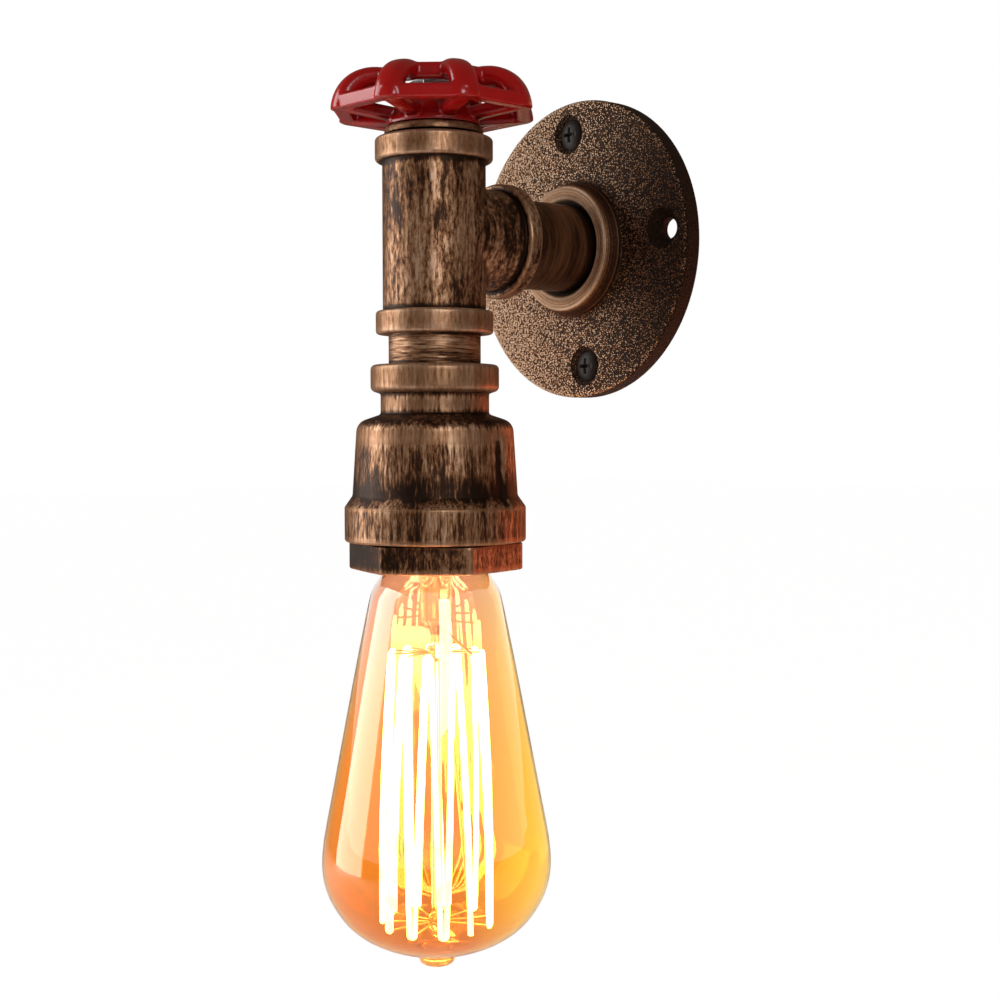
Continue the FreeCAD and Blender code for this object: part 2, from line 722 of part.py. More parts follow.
def filament():
    """Carbon filament laid up and down round the cage, open where its ends meet the lead-in wires."""
    points = cage_points()
    links = []
    for a, b in zip(points[:-1], points[1:]):
        past = (b - a).normalize() * strand_r
        links.append(rod(strand_r, a, b + past))
    return on_lamp(links[0].multiFuse(links[1:]))


def cage_hooks():
    """Support wires from the rod out to the cage, upper and lower sets, each ending just inside its strand."""
    hooks = []
    gap = strand_r + hook_r + seat_gap
    for k, point in enumerate(cage_points()):
        if k in (0, strands - 1):
            continue
        reach = hypot(point.x, point.y) - gap
        a = cage_clocking + 360.0 * k / strands
        high = k % 2 == 0
        root = -cage_top_z if high else -cage_low_z
        hooks.append(rod(hook_r, polar(bead_r + seat_gap, a, root), polar(reach, a, root)))
    return on_lamp(Part.makeCompound(hooks))


def leadin_wires():
    """Two lead-in wires from the press to the filament's ends."""
    points = cage_points()
    wires = []
    spread = rod_r + leadin_r + 4 * seat_gap
    face = -stem_press_z + (stem_glass_r - rod_r) / 3
    for angle, tip in ((leadin_turn, points[0]), (-leadin_turn / 8, points[-1])):
        start = polar(spread + leadin_r, cage_clocking + angle, face)
        inward = V(tip.x, tip.y, 0)
        inward.normalize()
        end = tip - inward * (strand_r + leadin_r + seat_gap)
        wires.append(rod(leadin_r, start, end))
    return on_lamp(Part.makeCompound(wires))


# ---- wires --------------------------------------------------------------------------------------
def wire(side):
    """One insulated wire: up from the lampholder, through the drop pipe, and back along the branch pipe."""
    start = V(side * terminal_at, -lamp_to_wall, holder_top - holder_floor / 3)
    entry = V(side * terminal_at, -lamp_to_wall, holder_top + wire_d)
    neck = V(side * wire_apart, -lamp_to_wall, bell_z)
    corner = V(side * wire_apart, -lamp_to_wall, -wire_low)
    end = V(side * wire_apart, -seat_gap, -wire_low)
    bend_start = corner - V(0, 0, wire_bend)
    bend_end = corner + V(0, wire_bend, 0)
    bulge = wire_bend * (1 - sqrt(0.5))
    bend_middle = corner + V(0, bulge, -bulge)
    r = wire_d / 2
    bend = Part.Wire(Part.Arc(bend_start, bend_middle, bend_end).toShape())
    section = Part.Wire(Part.makeCircle(r, bend_start, UP))
    pieces = [bend.makePipeShell([section], True, True), rod(r, bend_end, end), rod(r, neck, bend_start)]
    for a, b in ((start, entry), (entry, neck)):
        pieces.append(rod(r, a, b))
        pieces.append(Part.makeSphere(r, b))
    return pieces[0].multiFuse(pieces[1:])


def live_wire():
    """Brown wire to the centre contact's terminal."""
    return wire(1)


def neutral_wire():
    """Blue wire to the screw shell's terminal."""
    return wire(-1)


NODES = [wall_flange, mounting_strap, flange_screws, earth_screw, wall_nipple, tee_fitting, bonnet_plug, valve_stem,
         stem_nuts, wheel_washer, handwheel, drop_nipple, reducing_socket, hex_bush, lampholder_body,
         terminal_screws, screw_shell, centre_contact, bulb_cap, cap_insulator, cap_contact, bulb_glass, glass_stem,
         filament, cage_hooks, leadin_wires, live_wire, neutral_wire]

os.makedirs("parts", exist_ok=True)
for make in NODES:
    make().exportStep("parts/" + make.__name__ + ".step")
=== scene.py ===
"""Looks of a wall light made from pipe fittings: dry-brushed cast iron, a red enamelled handwheel
and an amber teardrop bulb.

Shapes are worked out in millimetres in the model's frame: the wall is the plane y = 0, +y runs into
it, +z is up, and the lamp's upright axis stands at x = 0, y = -61. Outlines are rows (radius,
height, rounding), or (radius, distance from the wall, rounding) about the branch; a prism's rows
have the share of its flat sides before the rounding.
"""

import bmesh
import bpy
import numpy as np
from mathutils import Matrix, Vector

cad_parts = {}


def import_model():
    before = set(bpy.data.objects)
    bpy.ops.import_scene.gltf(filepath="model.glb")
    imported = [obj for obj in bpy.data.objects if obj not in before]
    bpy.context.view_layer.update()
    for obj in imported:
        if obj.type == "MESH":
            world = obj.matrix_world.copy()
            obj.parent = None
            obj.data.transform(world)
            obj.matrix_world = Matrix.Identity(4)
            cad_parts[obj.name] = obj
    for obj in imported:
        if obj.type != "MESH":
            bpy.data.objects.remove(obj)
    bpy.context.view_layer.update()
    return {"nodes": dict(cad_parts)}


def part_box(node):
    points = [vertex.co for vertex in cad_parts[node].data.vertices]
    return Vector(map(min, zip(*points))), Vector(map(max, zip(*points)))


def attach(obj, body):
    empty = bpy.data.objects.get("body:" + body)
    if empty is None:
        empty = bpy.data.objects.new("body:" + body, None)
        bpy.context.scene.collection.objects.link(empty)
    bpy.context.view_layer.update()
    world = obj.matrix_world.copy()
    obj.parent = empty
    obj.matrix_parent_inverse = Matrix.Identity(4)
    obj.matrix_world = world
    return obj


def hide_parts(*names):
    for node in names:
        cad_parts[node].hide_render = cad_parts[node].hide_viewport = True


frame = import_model()

MM = 0.001
LAMP_Y = -61.0  # the lamp's upright axis
BRANCH = -LAMP_Y  # distance from the wall to that axis
SOCKET, PIPE, BORE = 12.95, 12.9, 10.3  # radii: the fittings' mouths, the pipe outside and inside
MERGE, SLIVER = 2e-6, 1e-7  # metres: points this near are one, and edges this short go


# ---- nodes and colours ---------------------------------------------------------------------------
def linear(code):
    """sRGB hex to linear RGBA: c/12.92 below 0.04045, else ((c + 0.055)/1.055)^2.4."""
    c = np.array([int(code[i:i + 2], 16) for i in (1, 3, 5)]) / 255.0
    return (*np.where(c <= 0.04045, c / 12.92, ((c + 0.055) / 1.055) ** 2.4).tolist(), 1.0)


def add(tree, kind, inputs=None, stops=None, **settings):
    """Adds one node, sets it and links or fills its inputs. A value that is a node stands for its
    first live output, a hex string becomes a colour, and stops fill a ramp."""
    node = tree.nodes.new("ShaderNode" + kind)
    for name, value in settings.items():
        setattr(node, name, value)
    for name, value in (inputs or {}).items():
        if isinstance(value, bpy.types.Node):
            value = next(socket for socket in value.outputs if socket.enabled)
        if isinstance(value, bpy.types.NodeSocket):
            tree.links.new(value, node.inputs[name])
        else:
            node.inputs[name].default_value = linear(value) if isinstance(value, str) else value
    if stops:
        elements = node.color_ramp.elements
        while len(elements) < len(stops):
            elements.new(1.0)
        for element, (place, code) in zip(elements, stops):
            element.position = place
            element.color = linear(code)
    return node


def material(name):
    """An empty node material and its tree."""
    made = bpy.data.materials.new(name)
    made.use_nodes = True
    made.node_tree.nodes.clear()
    return made, made.node_tree


# ---- shapes --------------------------------------------------------------------------------------
def rounded(corners, closed=True, bow=7):
    """Polyline with rounded corners. Each row is a point P (2 or 3 numbers) and a radius. With A
    and B on its two sides, radius*tan(turn/2) from P but not past its sides' middles, the corner
    becomes the arc (A(1-t)^2 + 2wPt(1-t) + Bt^2)/((1-t)^2 + 2wt(1-t) + t^2), w = cos(turn/2), in
    bow points."""
    rows = np.asarray(corners, float)
    p, radius = rows[:, :-1], rows[:, -1]
    back, ahead = np.roll(p, 1, 0) - p, np.roll(p, -1, 0) - p
    if not closed:
        back[0], ahead[-1] = -ahead[0], -back[-1]
    lb, la = np.linalg.norm(back, axis=1), np.linalg.norm(ahead, axis=1)
    ub, ua = back / lb[:, None], ahead / la[:, None]
    half = (np.pi - np.arccos(np.clip((ub * ua).sum(1), -1, 1))) / 2
    cut = np.minimum(radius * np.tan(half), 0.49 * np.minimum(lb, la))
    if not closed:
        cut[[0, -1]] = 0
    t = np.linspace(0, 1, bow)[None, :, None]
    w = np.cos(half)[:, None, None]
    a, b, mid = (p + ub * cut[:, None])[:, None], (p + ua * cut[:, None])[:, None], p[:, None]
    over = a * (1 - t) ** 2 + 2 * w * mid * t * (1 - t) + b * t ** 2
    arc = over / ((1 - t) ** 2 + 2 * w * t * (1 - t) + t ** 2)
    return arc.reshape(-1, p.shape[1])


def spaced(line, step, closed, least=0.03):
    """The same line with points at most step and at least 0.03 mm apart, kept where it bends."""
    line = np.vstack([line, line[:1]]) if closed else line
    s = np.concatenate([[0], np.cumsum(np.linalg.norm(np.diff(line, axis=0), axis=1))])
    at = np.union1d(s, np.arange(0, s[-1], step))
    at = at[np.concatenate([[True], np.diff(at) > least])]
    if closed:
        at = at[at < s[-1] - least]
    return np.stack([np.interp(at, s, line[:, k]) for k in range(line.shape[1])], 1)


def wear(outline, spread=0.7, most=1.2):
    """Edge wear along an outline: the turn at each point, smoothed over spread mm and signed so
    that it is positive on outer edges and negative in grooves: sum over j of turn_j exp(-((s_i -
    s_j)/spread)^2), held within most."""
    d = np.roll(outline, -1, 0) - outline
    heading = np.arctan2(d[:, 1], d[:, 0])
    turn = np.angle(np.exp(1j * (heading - np.roll(heading, 1))))
    s = np.concatenate([[0], np.cumsum(np.linalg.norm(np.diff(outline, axis=0), axis=1))])
    gap = np.abs(s[:, None] - s[None, :])
    smooth = (turn[None, :] * np.exp(-(gap / spread) ** 2)).sum(1)
    return np.clip(smooth * np.sign(turn.sum()), -most, most)


def on_lamp(r, z, turn):
    """Cylinder coordinates about the lamp axis: (r cos a, -61 + r sin a, z)."""
    return np.stack(np.broadcast_arrays(r * np.cos(turn), LAMP_Y + r * np.sin(turn), z), -1)


def on_branch(r, h, turn):
    """Cylinder coordinates about the branch axis, h from the wall: (r cos a, -h, r sin a)."""
    return np.stack(np.broadcast_arrays(r * np.cos(turn), -h, r * np.sin(turn)), -1)


def lathe(corners, place=on_lamp, closed=True, step=1.4, segments=144, swell=None, proud=None,
          rub=0.45, marks=None):
    """A turned surface: the rounded outline carried round its axis. swell(turn, r, z) is added to
    the radius. marks(turn, r, z) is added to the wear, and so is rub where proud(r, z) holds. Like
    every surface here it is (points, wear, closed along, closed round)."""
    outline = spaced(rounded(corners, closed), step, closed)
    turn = np.linspace(0, 2 * np.pi, segments, endpoint=False)[None, :]
    r, z = outline[:, :1], outline[:, 1:2]
    r = r + (swell(turn, r, z) if swell else 0)
    grid = place(r, z, turn)
    worn = wear(outline) + (rub * proud(outline[:, 0], outline[:, 1]) if proud else 0)
    worn = np.repeat(worn[:, None], segments, 1) + (marks(turn, r, z) if marks else 0)
    return grid, worn, closed, True


def polygon_radius(turn, sides, flat, sharp):
    """Distance to a polygon with softened corners: flat (sum_k max(0, cos(a -
    a_k))^sharp)^(-1/sharp)."""
    normals = (np.arange(sides) + 0.5) * 2 * np.pi / sides
    facing = np.maximum(np.cos(turn[..., None] - normals), 0)
    return flat * (facing ** sharp).sum(-1) ** (-1.0 / sharp)


def prism(corners, sides, flat, clocking, segments, sharp=60.0, rub=0.7, shade_turn=122.0):
    """A turned outline with polygonal walls. Each corner is (r, z, share, round): the radius at
    turn a is r + share (polygon_radius(a) - flat), so share 1 gives flat sides and share 0 a round
    wall. The upright corners are rubbed by 0.7 exp(-(distance/0.7)^2), and painted shade darkens
    one side more than the other, by max(c, 0.3 c) with c = cos(turn + 122 degrees)."""
    outline = spaced(rounded(corners), 1.2, True)
    turn = np.linspace(0, 2 * np.pi, segments, endpoint=False)[None, :]
    r = outline[:, :1] + outline[:, 2:] * (polygon_radius(turn, sides, flat, sharp) - flat)
    from_corner = np.abs((turn + np.pi / sides) % (2 * np.pi / sides) - np.pi / sides) * flat
    worn = wear(outline)[:, None] + rub * outline[:, 2:] * np.exp(-(from_corner / 0.7) ** 2)
    # painted shade: the sides toward one turn are darker, as a side away from the light is
    shaded = np.cos(turn + clocking + np.radians(shade_turn))
    worn -= outline[:, 2:] * np.maximum(shaded, 0.3 * shaded)
    return on_lamp(r, outline[:, 1:2], turn + clocking), worn, True, True


def bar(path, ring):
    """The skin of a bar: a ring round each point of its path, ending in points that close it."""
    ends = [np.repeat(path[[i], None], ring.shape[1], 1) for i in (0, -1)]
    grid = np.concatenate([ends[0], ring, ends[1]])
    return grid, np.zeros(grid.shape[:2]), False, True


def tube(path, radius, lean, sides=8):
    """A round bar along a path: p + radius (n cos a + b sin a), n = lean made square to the path, b
    = path x n."""
    ahead = np.gradient(path, axis=0)
    ahead /= np.linalg.norm(ahead, axis=1)[:, None]
    n = lean - (lean * ahead).sum(1)[:, None] * ahead
    n /= np.linalg.norm(n, axis=1)[:, None]
    b = np.cross(ahead, n)
    a = np.linspace(0, 2 * np.pi, sides, endpoint=False)[None, :, None]
    return bar(path, path[:, None] + radius * (np.cos(a) * n[:, None] + np.sin(a) * b[:, None]))


def beam(path, across, wide, thick, power, sides):
    """A bar of superellipse section along a path in an upright plane: with u across and v square to
    u and the path, p + u (wide/2) sgn(cos a)|cos a|^(2/power) + v (thick/2) sgn(sin a)|sin
    a|^(2/power)."""
    ahead = np.gradient(path, axis=0)
    ahead /= np.linalg.norm(ahead, axis=1)[:, None]
    v = np.cross(ahead, across)
    a = np.linspace(0, 2 * np.pi, sides, endpoint=False)[None, :, None]
    c, s = np.cos(a), np.sin(a)
    c, s = np.sign(c) * np.abs(c) ** (2 / power), np.sign(s) * np.abs(s) ** (2 / power)
    wide, thick = (wide / 2)[:, None, None], (thick / 2)[:, None, None]
    return bar(path, path[:, None] + across * c * wide + v[:, None] * s * thick)


def turned_copies(surface, count):
    """Copies of one surface, evenly round the lamp axis."""
    grid, *rest = surface
    x, y, z = grid[..., 0], grid[..., 1] - LAMP_Y, grid[..., 2]
    copies = []
    for k in range(count):
        c, s = np.cos(2 * np.pi * k / count), np.sin(2 * np.pi * k / count)
        copies.append((np.stack([c * x - s * y, s * x + c * y + LAMP_Y, z], -1), *rest))
    return copies


def quads(shape, along, round_, first):
    """Faces of a grid: (i, j), (i+1, j), (i+1, j+1), (i, j+1), counted round where that way is
    closed."""
    n, m = shape
    i, j = np.indices((n if along else n - 1, m if round_ else m - 1))
    i2, j2 = (i + 1) % n, (j + 1) % m
    return first + np.stack([i * m + j, i2 * m + j, i2 * m + j2, i * m + j2], -1).reshape(-1, 4)


def mesh_of(name, surfaces):
    """One mesh of several surfaces, doubles merged and faces turned outwards, with each point's
    wear stored."""
    points, worn, faces, first = [], [], [], 0
    for grid, edge, along, round_ in surfaces:
        points.append(grid.reshape(-1, 3) * MM)
        worn.append(edge.reshape(-1))
        faces.append(quads(grid.shape[:2], along, round_, first))
        first += points[-1].shape[0]
    mesh = bpy.data.meshes.new(name)
    mesh.from_pydata(np.concatenate(points).tolist(), [], np.concatenate(faces).tolist())
    # besides wear, this holds painted shade on prism sides and above the bell's lower collar
    stored = mesh.attributes.new("wear", "FLOAT", "POINT")
    stored.data.foreach_set("value", np.concatenate(worn).astype(np.float32))
    tidy(mesh)
    return mesh


def tidy(mesh, sharp=40):
    """Merges doubles, turns faces outwards and shades smooth across turns under sharp degrees."""
    work = bmesh.new()
    work.from_mesh(mesh)
    bmesh.ops.remove_doubles(work, verts=work.verts, dist=MERGE)
    bmesh.ops.dissolve_degenerate(work, edges=work.edges, dist=SLIVER)
    bmesh.ops.recalc_face_normals(work, faces=work.faces)
    work.to_mesh(mesh)
    work.free()
    mesh.shade_smooth()
    mesh.set_sharp_from_angle(angle=np.radians(sharp))


def piece(name, surfaces, finish, body, slot, *nodes):
    """A finished piece from surfaces or from a mesh, riding on a body and standing for CAD
    nodes."""
    mesh = surfaces if isinstance(surfaces, bpy.types.Mesh) else mesh_of(name, surfaces)
    made = bpy.data.objects.new(name, mesh)
    bpy.context.scene.collection.objects.link(made)
    mesh.materials.clear()
    mesh.materials.append(finish)
    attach(made, body)
    if nodes:
        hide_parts(*nodes)
    return made


def applied(mesh, *steps):
    """A mesh with modifiers applied. Each step is (modifier type, settings)."""
    holder = bpy.data.objects.new("work", mesh)
    bpy.context.scene.collection.objects.link(holder)
    for kind, settings in steps:
        modifier = holder.modifiers.new(kind.lower(), kind)
        for key, value in settings.items():
            setattr(modifier, key, value)
    shaped = holder.evaluated_get(bpy.context.evaluated_depsgraph_get())
    result = bpy.data.meshes.new_from_object(shaped)
    bpy.data.objects.remove(holder)
    return result


# ---- finishes ------------------------------------------------------------------------------------
def painted_iron(tree, high, relief, depth, rough, crest):
    """The two paints of an aged bronze finish: brown-black below, bronze metal where high passes
    about 0.55. depth is the relief's, in mm."""
    colour = add(tree, "ValToRGB", {"Fac": high},
                 stops=[(0.34, "#0B0503"), (0.46, "#2A150B"), (0.57, "#6C4930"), (0.69, "#987356"),
                        (0.88, crest)])
    gloss = add(tree, "MapRange", {"Value": high, "From Min": 0.4, "From Max": 0.75,
                                   "To Min": rough + 0.14, "To Max": rough})
    metal = add(tree, "MapRange", {"Value": high, "From Min": 0.45, "From Max": 0.7,
                                   "To Min": 0.1, "To Max": 0.62})
    bump = add(tree, "Bump", {"Height": relief, "Strength": 0.6, "Distance": depth * MM})
    shader = add(tree, "BsdfPrincipled", {"Base Color": colour, "Roughness": gloss,
                                          "Metallic": metal, "Normal": bump,
                                          "Specular IOR Level": 0.4, "Specular Tint": "#E2B496"})
    add(tree, "OutputMaterial", {"Surface": shader})


def dry_brushed_iron(name, fleck, cover, streak=0.75, patchy=0.6, mottle=1.3):
    """Cast iron or pipe painted brown-black and dry-brushed with bronze: the bronze catches the
    high spots and outer edges and shines like metal, and the paint stays dark in grooves. fleck is
    the size of one brush mark along x, y and z in mm. The height is level + mottle fine + streak
    lines + patchy patches + 0.26 wear, less up to 0.34 in corners; level keeps its mean at cover +
    0.735 whatever the three shares are. Rubbed edges are drawn toward an even 0.64."""
    made, tree = material(name)
    place = add(tree, "TexCoord").outputs["Object"]
    # besides wear, the wear attribute holds painted shade on the hexagon's sides and above the
    # bell's lower collar
    edge = add(tree, "Attribute", attribute_name="wear").outputs["Fac"]
    line = [f * (5 if f == max(fleck) else 1.8) for f in fleck]
    patch = [20.0 if f == max(fleck) else 6.0 for f in fleck]
    layers = []
    for size, detail, rough in ((fleck, 6.0, 0.72), (line, 3.0, 0.5), (patch, 2.0, 0.5)):
        marks = add(tree, "Mapping", {"Vector": place, "Scale": [1000.0 / s for s in size]})
        layers.append(add(tree, "TexNoise", {"Vector": marks, "Scale": 1.0, "Detail": detail,
                                             "Roughness": rough}))
    high = cover + 0.735 - (mottle + streak + patchy) / 2
    for layer, share in zip(layers + [edge], (mottle, streak, patchy, 0.26)):
        high = add(tree, "Math", {0: layer, 1: share, 2: high}, operation="MULTIPLY_ADD")
    rubbed = add(tree, "MapRange", {"Value": edge, "From Min": 0.3, "From Max": 0.45,
                                    "To Max": 0.55})
    high = add(tree, "Mix", {0: rubbed, 2: high, 3: 0.64}, data_type="FLOAT")
    open_ground = add(tree, "AmbientOcclusion", {"Distance": 5.0 * MM}, samples=6).outputs["AO"]
    shut = add(tree, "MapRange", {"Value": open_ground, "From Min": 0.2, "From Max": 0.8,
                                  "To Min": -0.34, "To Max": 0.0})
    high = add(tree, "Math", {0: high, 1: shut}, operation="ADD")
    painted_iron(tree, high, layers[0], 0.14, 0.31, "#C4A388")
    return made


def sand_cast_iron(name, grain, cover):
    """The same two paints over a sand casting: bronze on the tops of a tight pebble grain and
    brown-black between them. Painted shade darkens it from -x toward +x, where the tee's shadow
    falls, and the rim's edge is dark. The hub, from about 6.7 mm off the wall, was turned, so it is
    smooth: fine circles on its face, and painted shade on its side."""
    made, tree = material(name)
    place = add(tree, "TexCoord").outputs["Object"]
    edge = add(tree, "Attribute", attribute_name="wear").outputs["Fac"]
    parts = add(tree, "SeparateXYZ", {0: place}).outputs
    flat = add(tree, "Mapping", {"Vector": place, "Scale": [1.0, 0.0, 1.0]})
    radius = add(tree, "VectorMath", {0: flat}, operation="LENGTH")
    fine = add(tree, "TexNoise", {"Vector": place, "Scale": 1000.0 / 0.7, "Detail": 3.0})
    grains = add(tree, "TexVoronoi", {"Vector": place, "Scale": 1000.0 / grain, "Randomness": 0.8})
    tops = add(tree, "MapRange", {"Value": grains, "From Min": 0.2, "From Max": 0.8,
                                  "To Min": 1.0, "To Max": 0.0})
    # painted shade: darker from -x to +x, where the tee's shadow falls on the flange
    painted_shade_across = add(tree, "MapRange", {"Value": parts["X"], "From Min": -40 * MM, "From Max": 44 * MM,
                                     "To Min": -0.01, "To Max": -0.63})
    cast = add(tree, "Math", {0: fine, 1: 0.3, 2: painted_shade_across}, operation="MULTIPLY_ADD")
    cast = add(tree, "Math", {0: tops, 1: 0.8, 2: cast}, operation="MULTIPLY_ADD")
    across = add(tree, "Math", {0: radius, 1: 1000.0 / 0.22}, operation="MULTIPLY")
    circles = add(tree, "TexNoise", {"W": across, "Scale": 1.0, "Detail": 3.0},
                  noise_dimensions="1D")
    scratches = add(tree, "Math", {0: fine, 1: 0.35, 2: circles}, operation="MULTIPLY_ADD")
    # painted shade on the hub's side, darkened by 0.16; its turned face is lifted by 0.06
    face = add(tree, "MapRange", {"Value": parts["Y"], "From Min": -11.5 * MM,
                                  "From Max": -11.1 * MM, "To Min": 0.06, "To Max": -0.16})
    turned = add(tree, "Math", {0: scratches, 1: 0.5, 2: face}, operation="MULTIPLY_ADD")
    plain = add(tree, "MapRange", {"Value": parts["Y"], "From Min": -7.2 * MM,
                                   "From Max": -6.2 * MM})
    high = add(tree, "Mix", {0: plain, 2: turned, 3: cast}, data_type="FLOAT")
    high = add(tree, "Math", {0: edge, 1: 0.18, 2: high}, operation="MULTIPLY_ADD")
    rim = add(tree, "MapRange", {"Value": radius, "From Min": 44.1 * MM, "From Max": 44.5 * MM,
                                 "To Min": cover, "To Max": cover - 0.35})
    open_ground = add(tree, "AmbientOcclusion", {"Distance": 4.0 * MM}, samples=6).outputs["AO"]
    shut = add(tree, "MapRange", {"Value": open_ground, "From Min": 0.2, "From Max": 0.8,
                                  "To Min": -0.3, "To Max": 0.0})
    for darker in (rim, shut):
        high = add(tree, "Math", {0: high, 1: darker}, operation="ADD")
    relief = add(tree, "Mix", {0: plain, 2: circles, 3: tops}, data_type="FLOAT")
    painted_iron(tree, high, relief, 0.6, 0.36, "#D6B89C")
    return made


def red_enamel():
    """Glossy red enamel on cast iron: a wet-looking coat with the faint waviness of a dipped
    casting, and painted shade that darkens it toward deep red in corners and hollows."""
    made, tree = material("red_enamel_on_cast_iron")
    place = add(tree, "TexCoord").outputs["Object"]
    waves = add(tree, "TexNoise", {"Vector": place, "Scale": 1000.0 / 4.5, "Detail": 2.0})
    pits = add(tree, "TexNoise", {"Vector": place, "Scale": 1000.0 / 0.8, "Detail": 2.0})
    skin = add(tree, "Math", {0: pits, 1: 0.12, 2: waves}, operation="MULTIPLY_ADD")
    bump = add(tree, "Bump", {"Height": skin, "Strength": 0.35, "Distance": 0.25 * MM})
    # painted shade: the colour runs from #AE0D0F in the open to #330304 in corners and hollows
    open_ground = add(tree, "AmbientOcclusion", {"Distance": 9.0 * MM}, samples=8).outputs["AO"]
    painted_corner_shade = add(tree, "MapRange", {"Value": open_ground, "From Min": 0.3, "From Max": 0.8})
    colour = add(tree, "Mix", {0: painted_corner_shade, 6: "#330304", 7: "#AE0D0F"}, data_type="RGBA")
    value = add(tree, "MapRange", {"Value": waves, "To Min": 0.85, "To Max": 1.1})
    tint = add(tree, "HueSaturation", {"Color": colour, "Value": value})
    shader = add(tree, "BsdfPrincipled", {"Base Color": tint, "Roughness": 0.22, "IOR": 1.5,
                                          "Coat Weight": 0.3, "Coat Roughness": 0.06,
                                          "Specular IOR Level": 0.4, "Normal": bump})
    add(tree, "OutputMaterial", {"Surface": shader})
    return made


def plated(name, code, rough, metallic=1.0, glow=None):
    """Plated or rolled metal: even colour with a fine drawn grain that varies the gloss. glow is
    lamplight on it."""
    made, tree = material(name)
    place = add(tree, "TexCoord").outputs["Object"]
    grain = add(tree, "TexNoise", {"Vector": place, "Scale": 1000.0 / 0.5, "Detail": 3.0})
    shade = add(tree, "Mix", {0: grain, 6: "#000000", 7: code}, data_type="RGBA")
    tint = add(tree, "Mix", {0: 0.25, 6: code, 7: shade}, data_type="RGBA")
    gloss = add(tree, "MapRange", {"Value": grain, "To Min": rough - 0.08, "To Max": rough + 0.1})
    bump = add(tree, "Bump", {"Height": grain, "Strength": 0.2, "Distance": 0.05 * MM})
    shader = add(tree, "BsdfPrincipled", {"Base Color": tint, "Metallic": metallic,
                                          "Roughness": gloss, "Normal": bump,
                                          "Emission Color": glow or "#000000",
                                          "Emission Strength": 0.7 if glow else 0.0})
    add(tree, "OutputMaterial", {"Surface": shader})
    return made


def moulded(name, code, rough):
    """Glazed porcelain, fused glass or extruded PVC: smooth, with a slight unevenness in tone."""
    made, tree = material(name)
    place = add(tree, "TexCoord").outputs["Object"]
    grain = add(tree, "TexNoise", {"Vector": place, "Scale": 1000.0 / 1.2, "Detail": 2.0})
    value = add(tree, "MapRange", {"Value": grain, "To Min": 0.88, "To Max": 1.08})
    tint = add(tree, "HueSaturation", {"Color": code, "Value": value})
    bump = add(tree, "Bump", {"Height": grain, "Strength": 0.15, "Distance": 0.05 * MM})
    shader = add(tree, "BsdfPrincipled", {"Base Color": tint, "Roughness": rough, "Normal": bump})
    add(tree, "OutputMaterial", {"Surface": shader})
    return made


def glass(tree, inputs, shadow):
    """Ends a tree with clear smooth glass that gives off a faint painted glow. Shadow rays meet a
    plain tint instead, so light passes it."""
    shader = add(tree, "BsdfPrincipled", {"Roughness": 0.0, "IOR": 1.5, "Transmission Weight": 1.0,
                                          "Emission Strength": 0.12, **inputs})
    shadow_ray = add(tree, "LightPath").outputs["Is Shadow Ray"]
    clear = add(tree, "BsdfTransparent", {"Color": shadow})
    mixed = add(tree, "MixShader", {0: shadow_ray, 1: shader, 2: clear})
    add(tree, "OutputMaterial", {"Surface": mixed})


def amber_glass():
    """Blown soda glass with an amber lustre: clear and glossy, tinted orange, warmer low on the
    belly, with painted yellow light toward +x and the wall, and a painted glow in the coat itself
    that stands for the filament's light inside."""
    made, tree = material("amber_blown_glass")
    place = add(tree, "TexCoord").outputs["Object"]
    height = add(tree, "SeparateXYZ", {0: place}).outputs["Z"]
    up = add(tree, "MapRange", {"Value": height, "From Min": -0.200, "From Max": -0.095})
    tint = add(tree, "ValToRGB", {"Fac": up},
               stops=[(0.0, "#DA9A4C"), (0.2, "#F2B45C"), (0.5, "#F8BC64"), (0.75, "#F6C68E"),
                      (1.0, "#F1C8B0")])
    # painted light: a yellow tint that grows toward +x and the wall
    painted_light_side = (0.664, 0.747, 0.0)
    axis = painted_light_side[1] * LAMP_Y
    beyond = add(tree, "VectorMath", {0: place, 1: painted_light_side}, operation="DOT_PRODUCT")
    painted_side_light = add(tree, "MapRange", {"Value": beyond, "From Min": (axis + 8.0) * MM,
                                  "From Max": (axis + 32.0) * MM, "To Max": 0.9})
    colour = add(tree, "Mix", {0: painted_side_light, 6: tint, 7: "#FFF08A"}, data_type="RGBA")
    waves = add(tree, "TexNoise", {"Vector": place, "Scale": 1000.0 / 22.0, "Detail": 1.0})
    bump = add(tree, "Bump", {"Height": waves, "Strength": 0.05, "Distance": 1.0 * MM})
    # painted glow: the glass gives off light of its own, warmest low down
    glow = add(tree, "ValToRGB", {"Fac": up}, stops=[(0.0, "#A85A18"), (0.4, "#B06420"),
                                                     (0.8, "#8A5024"), (1.0, "#5A3A22")])
    glass(tree, {"Base Color": colour, "Normal": bump, "Emission Color": glow, "Coat Weight": 0.4,
                 "Coat IOR": 1.6, "Coat Roughness": 0.0, "Coat Normal": bump}, "#FFD9A8")
    return made


def clear_glass():
    """Drawn lead glass of the stem: clear and glossy, faint drawing lines, a faint painted orange
    glow.
    """
    made, tree = material("clear_drawn_glass")
    place = add(tree, "TexCoord").outputs["Object"]
    waves = add(tree, "TexNoise", {"Vector": place, "Scale": 1000.0 / 3.0, "Detail": 1.0})
    tint = add(tree, "Mix", {0: waves, 6: "#FFF4E2", 7: "#F4E6D0"}, data_type="RGBA")
    bump = add(tree, "Bump", {"Height": waves, "Strength": 0.1, "Distance": 0.3 * MM})
    glass(tree, {"Base Color": tint, "Normal": bump, "Emission Color": "#FFB050"}, "#FFFFFF")
    return made


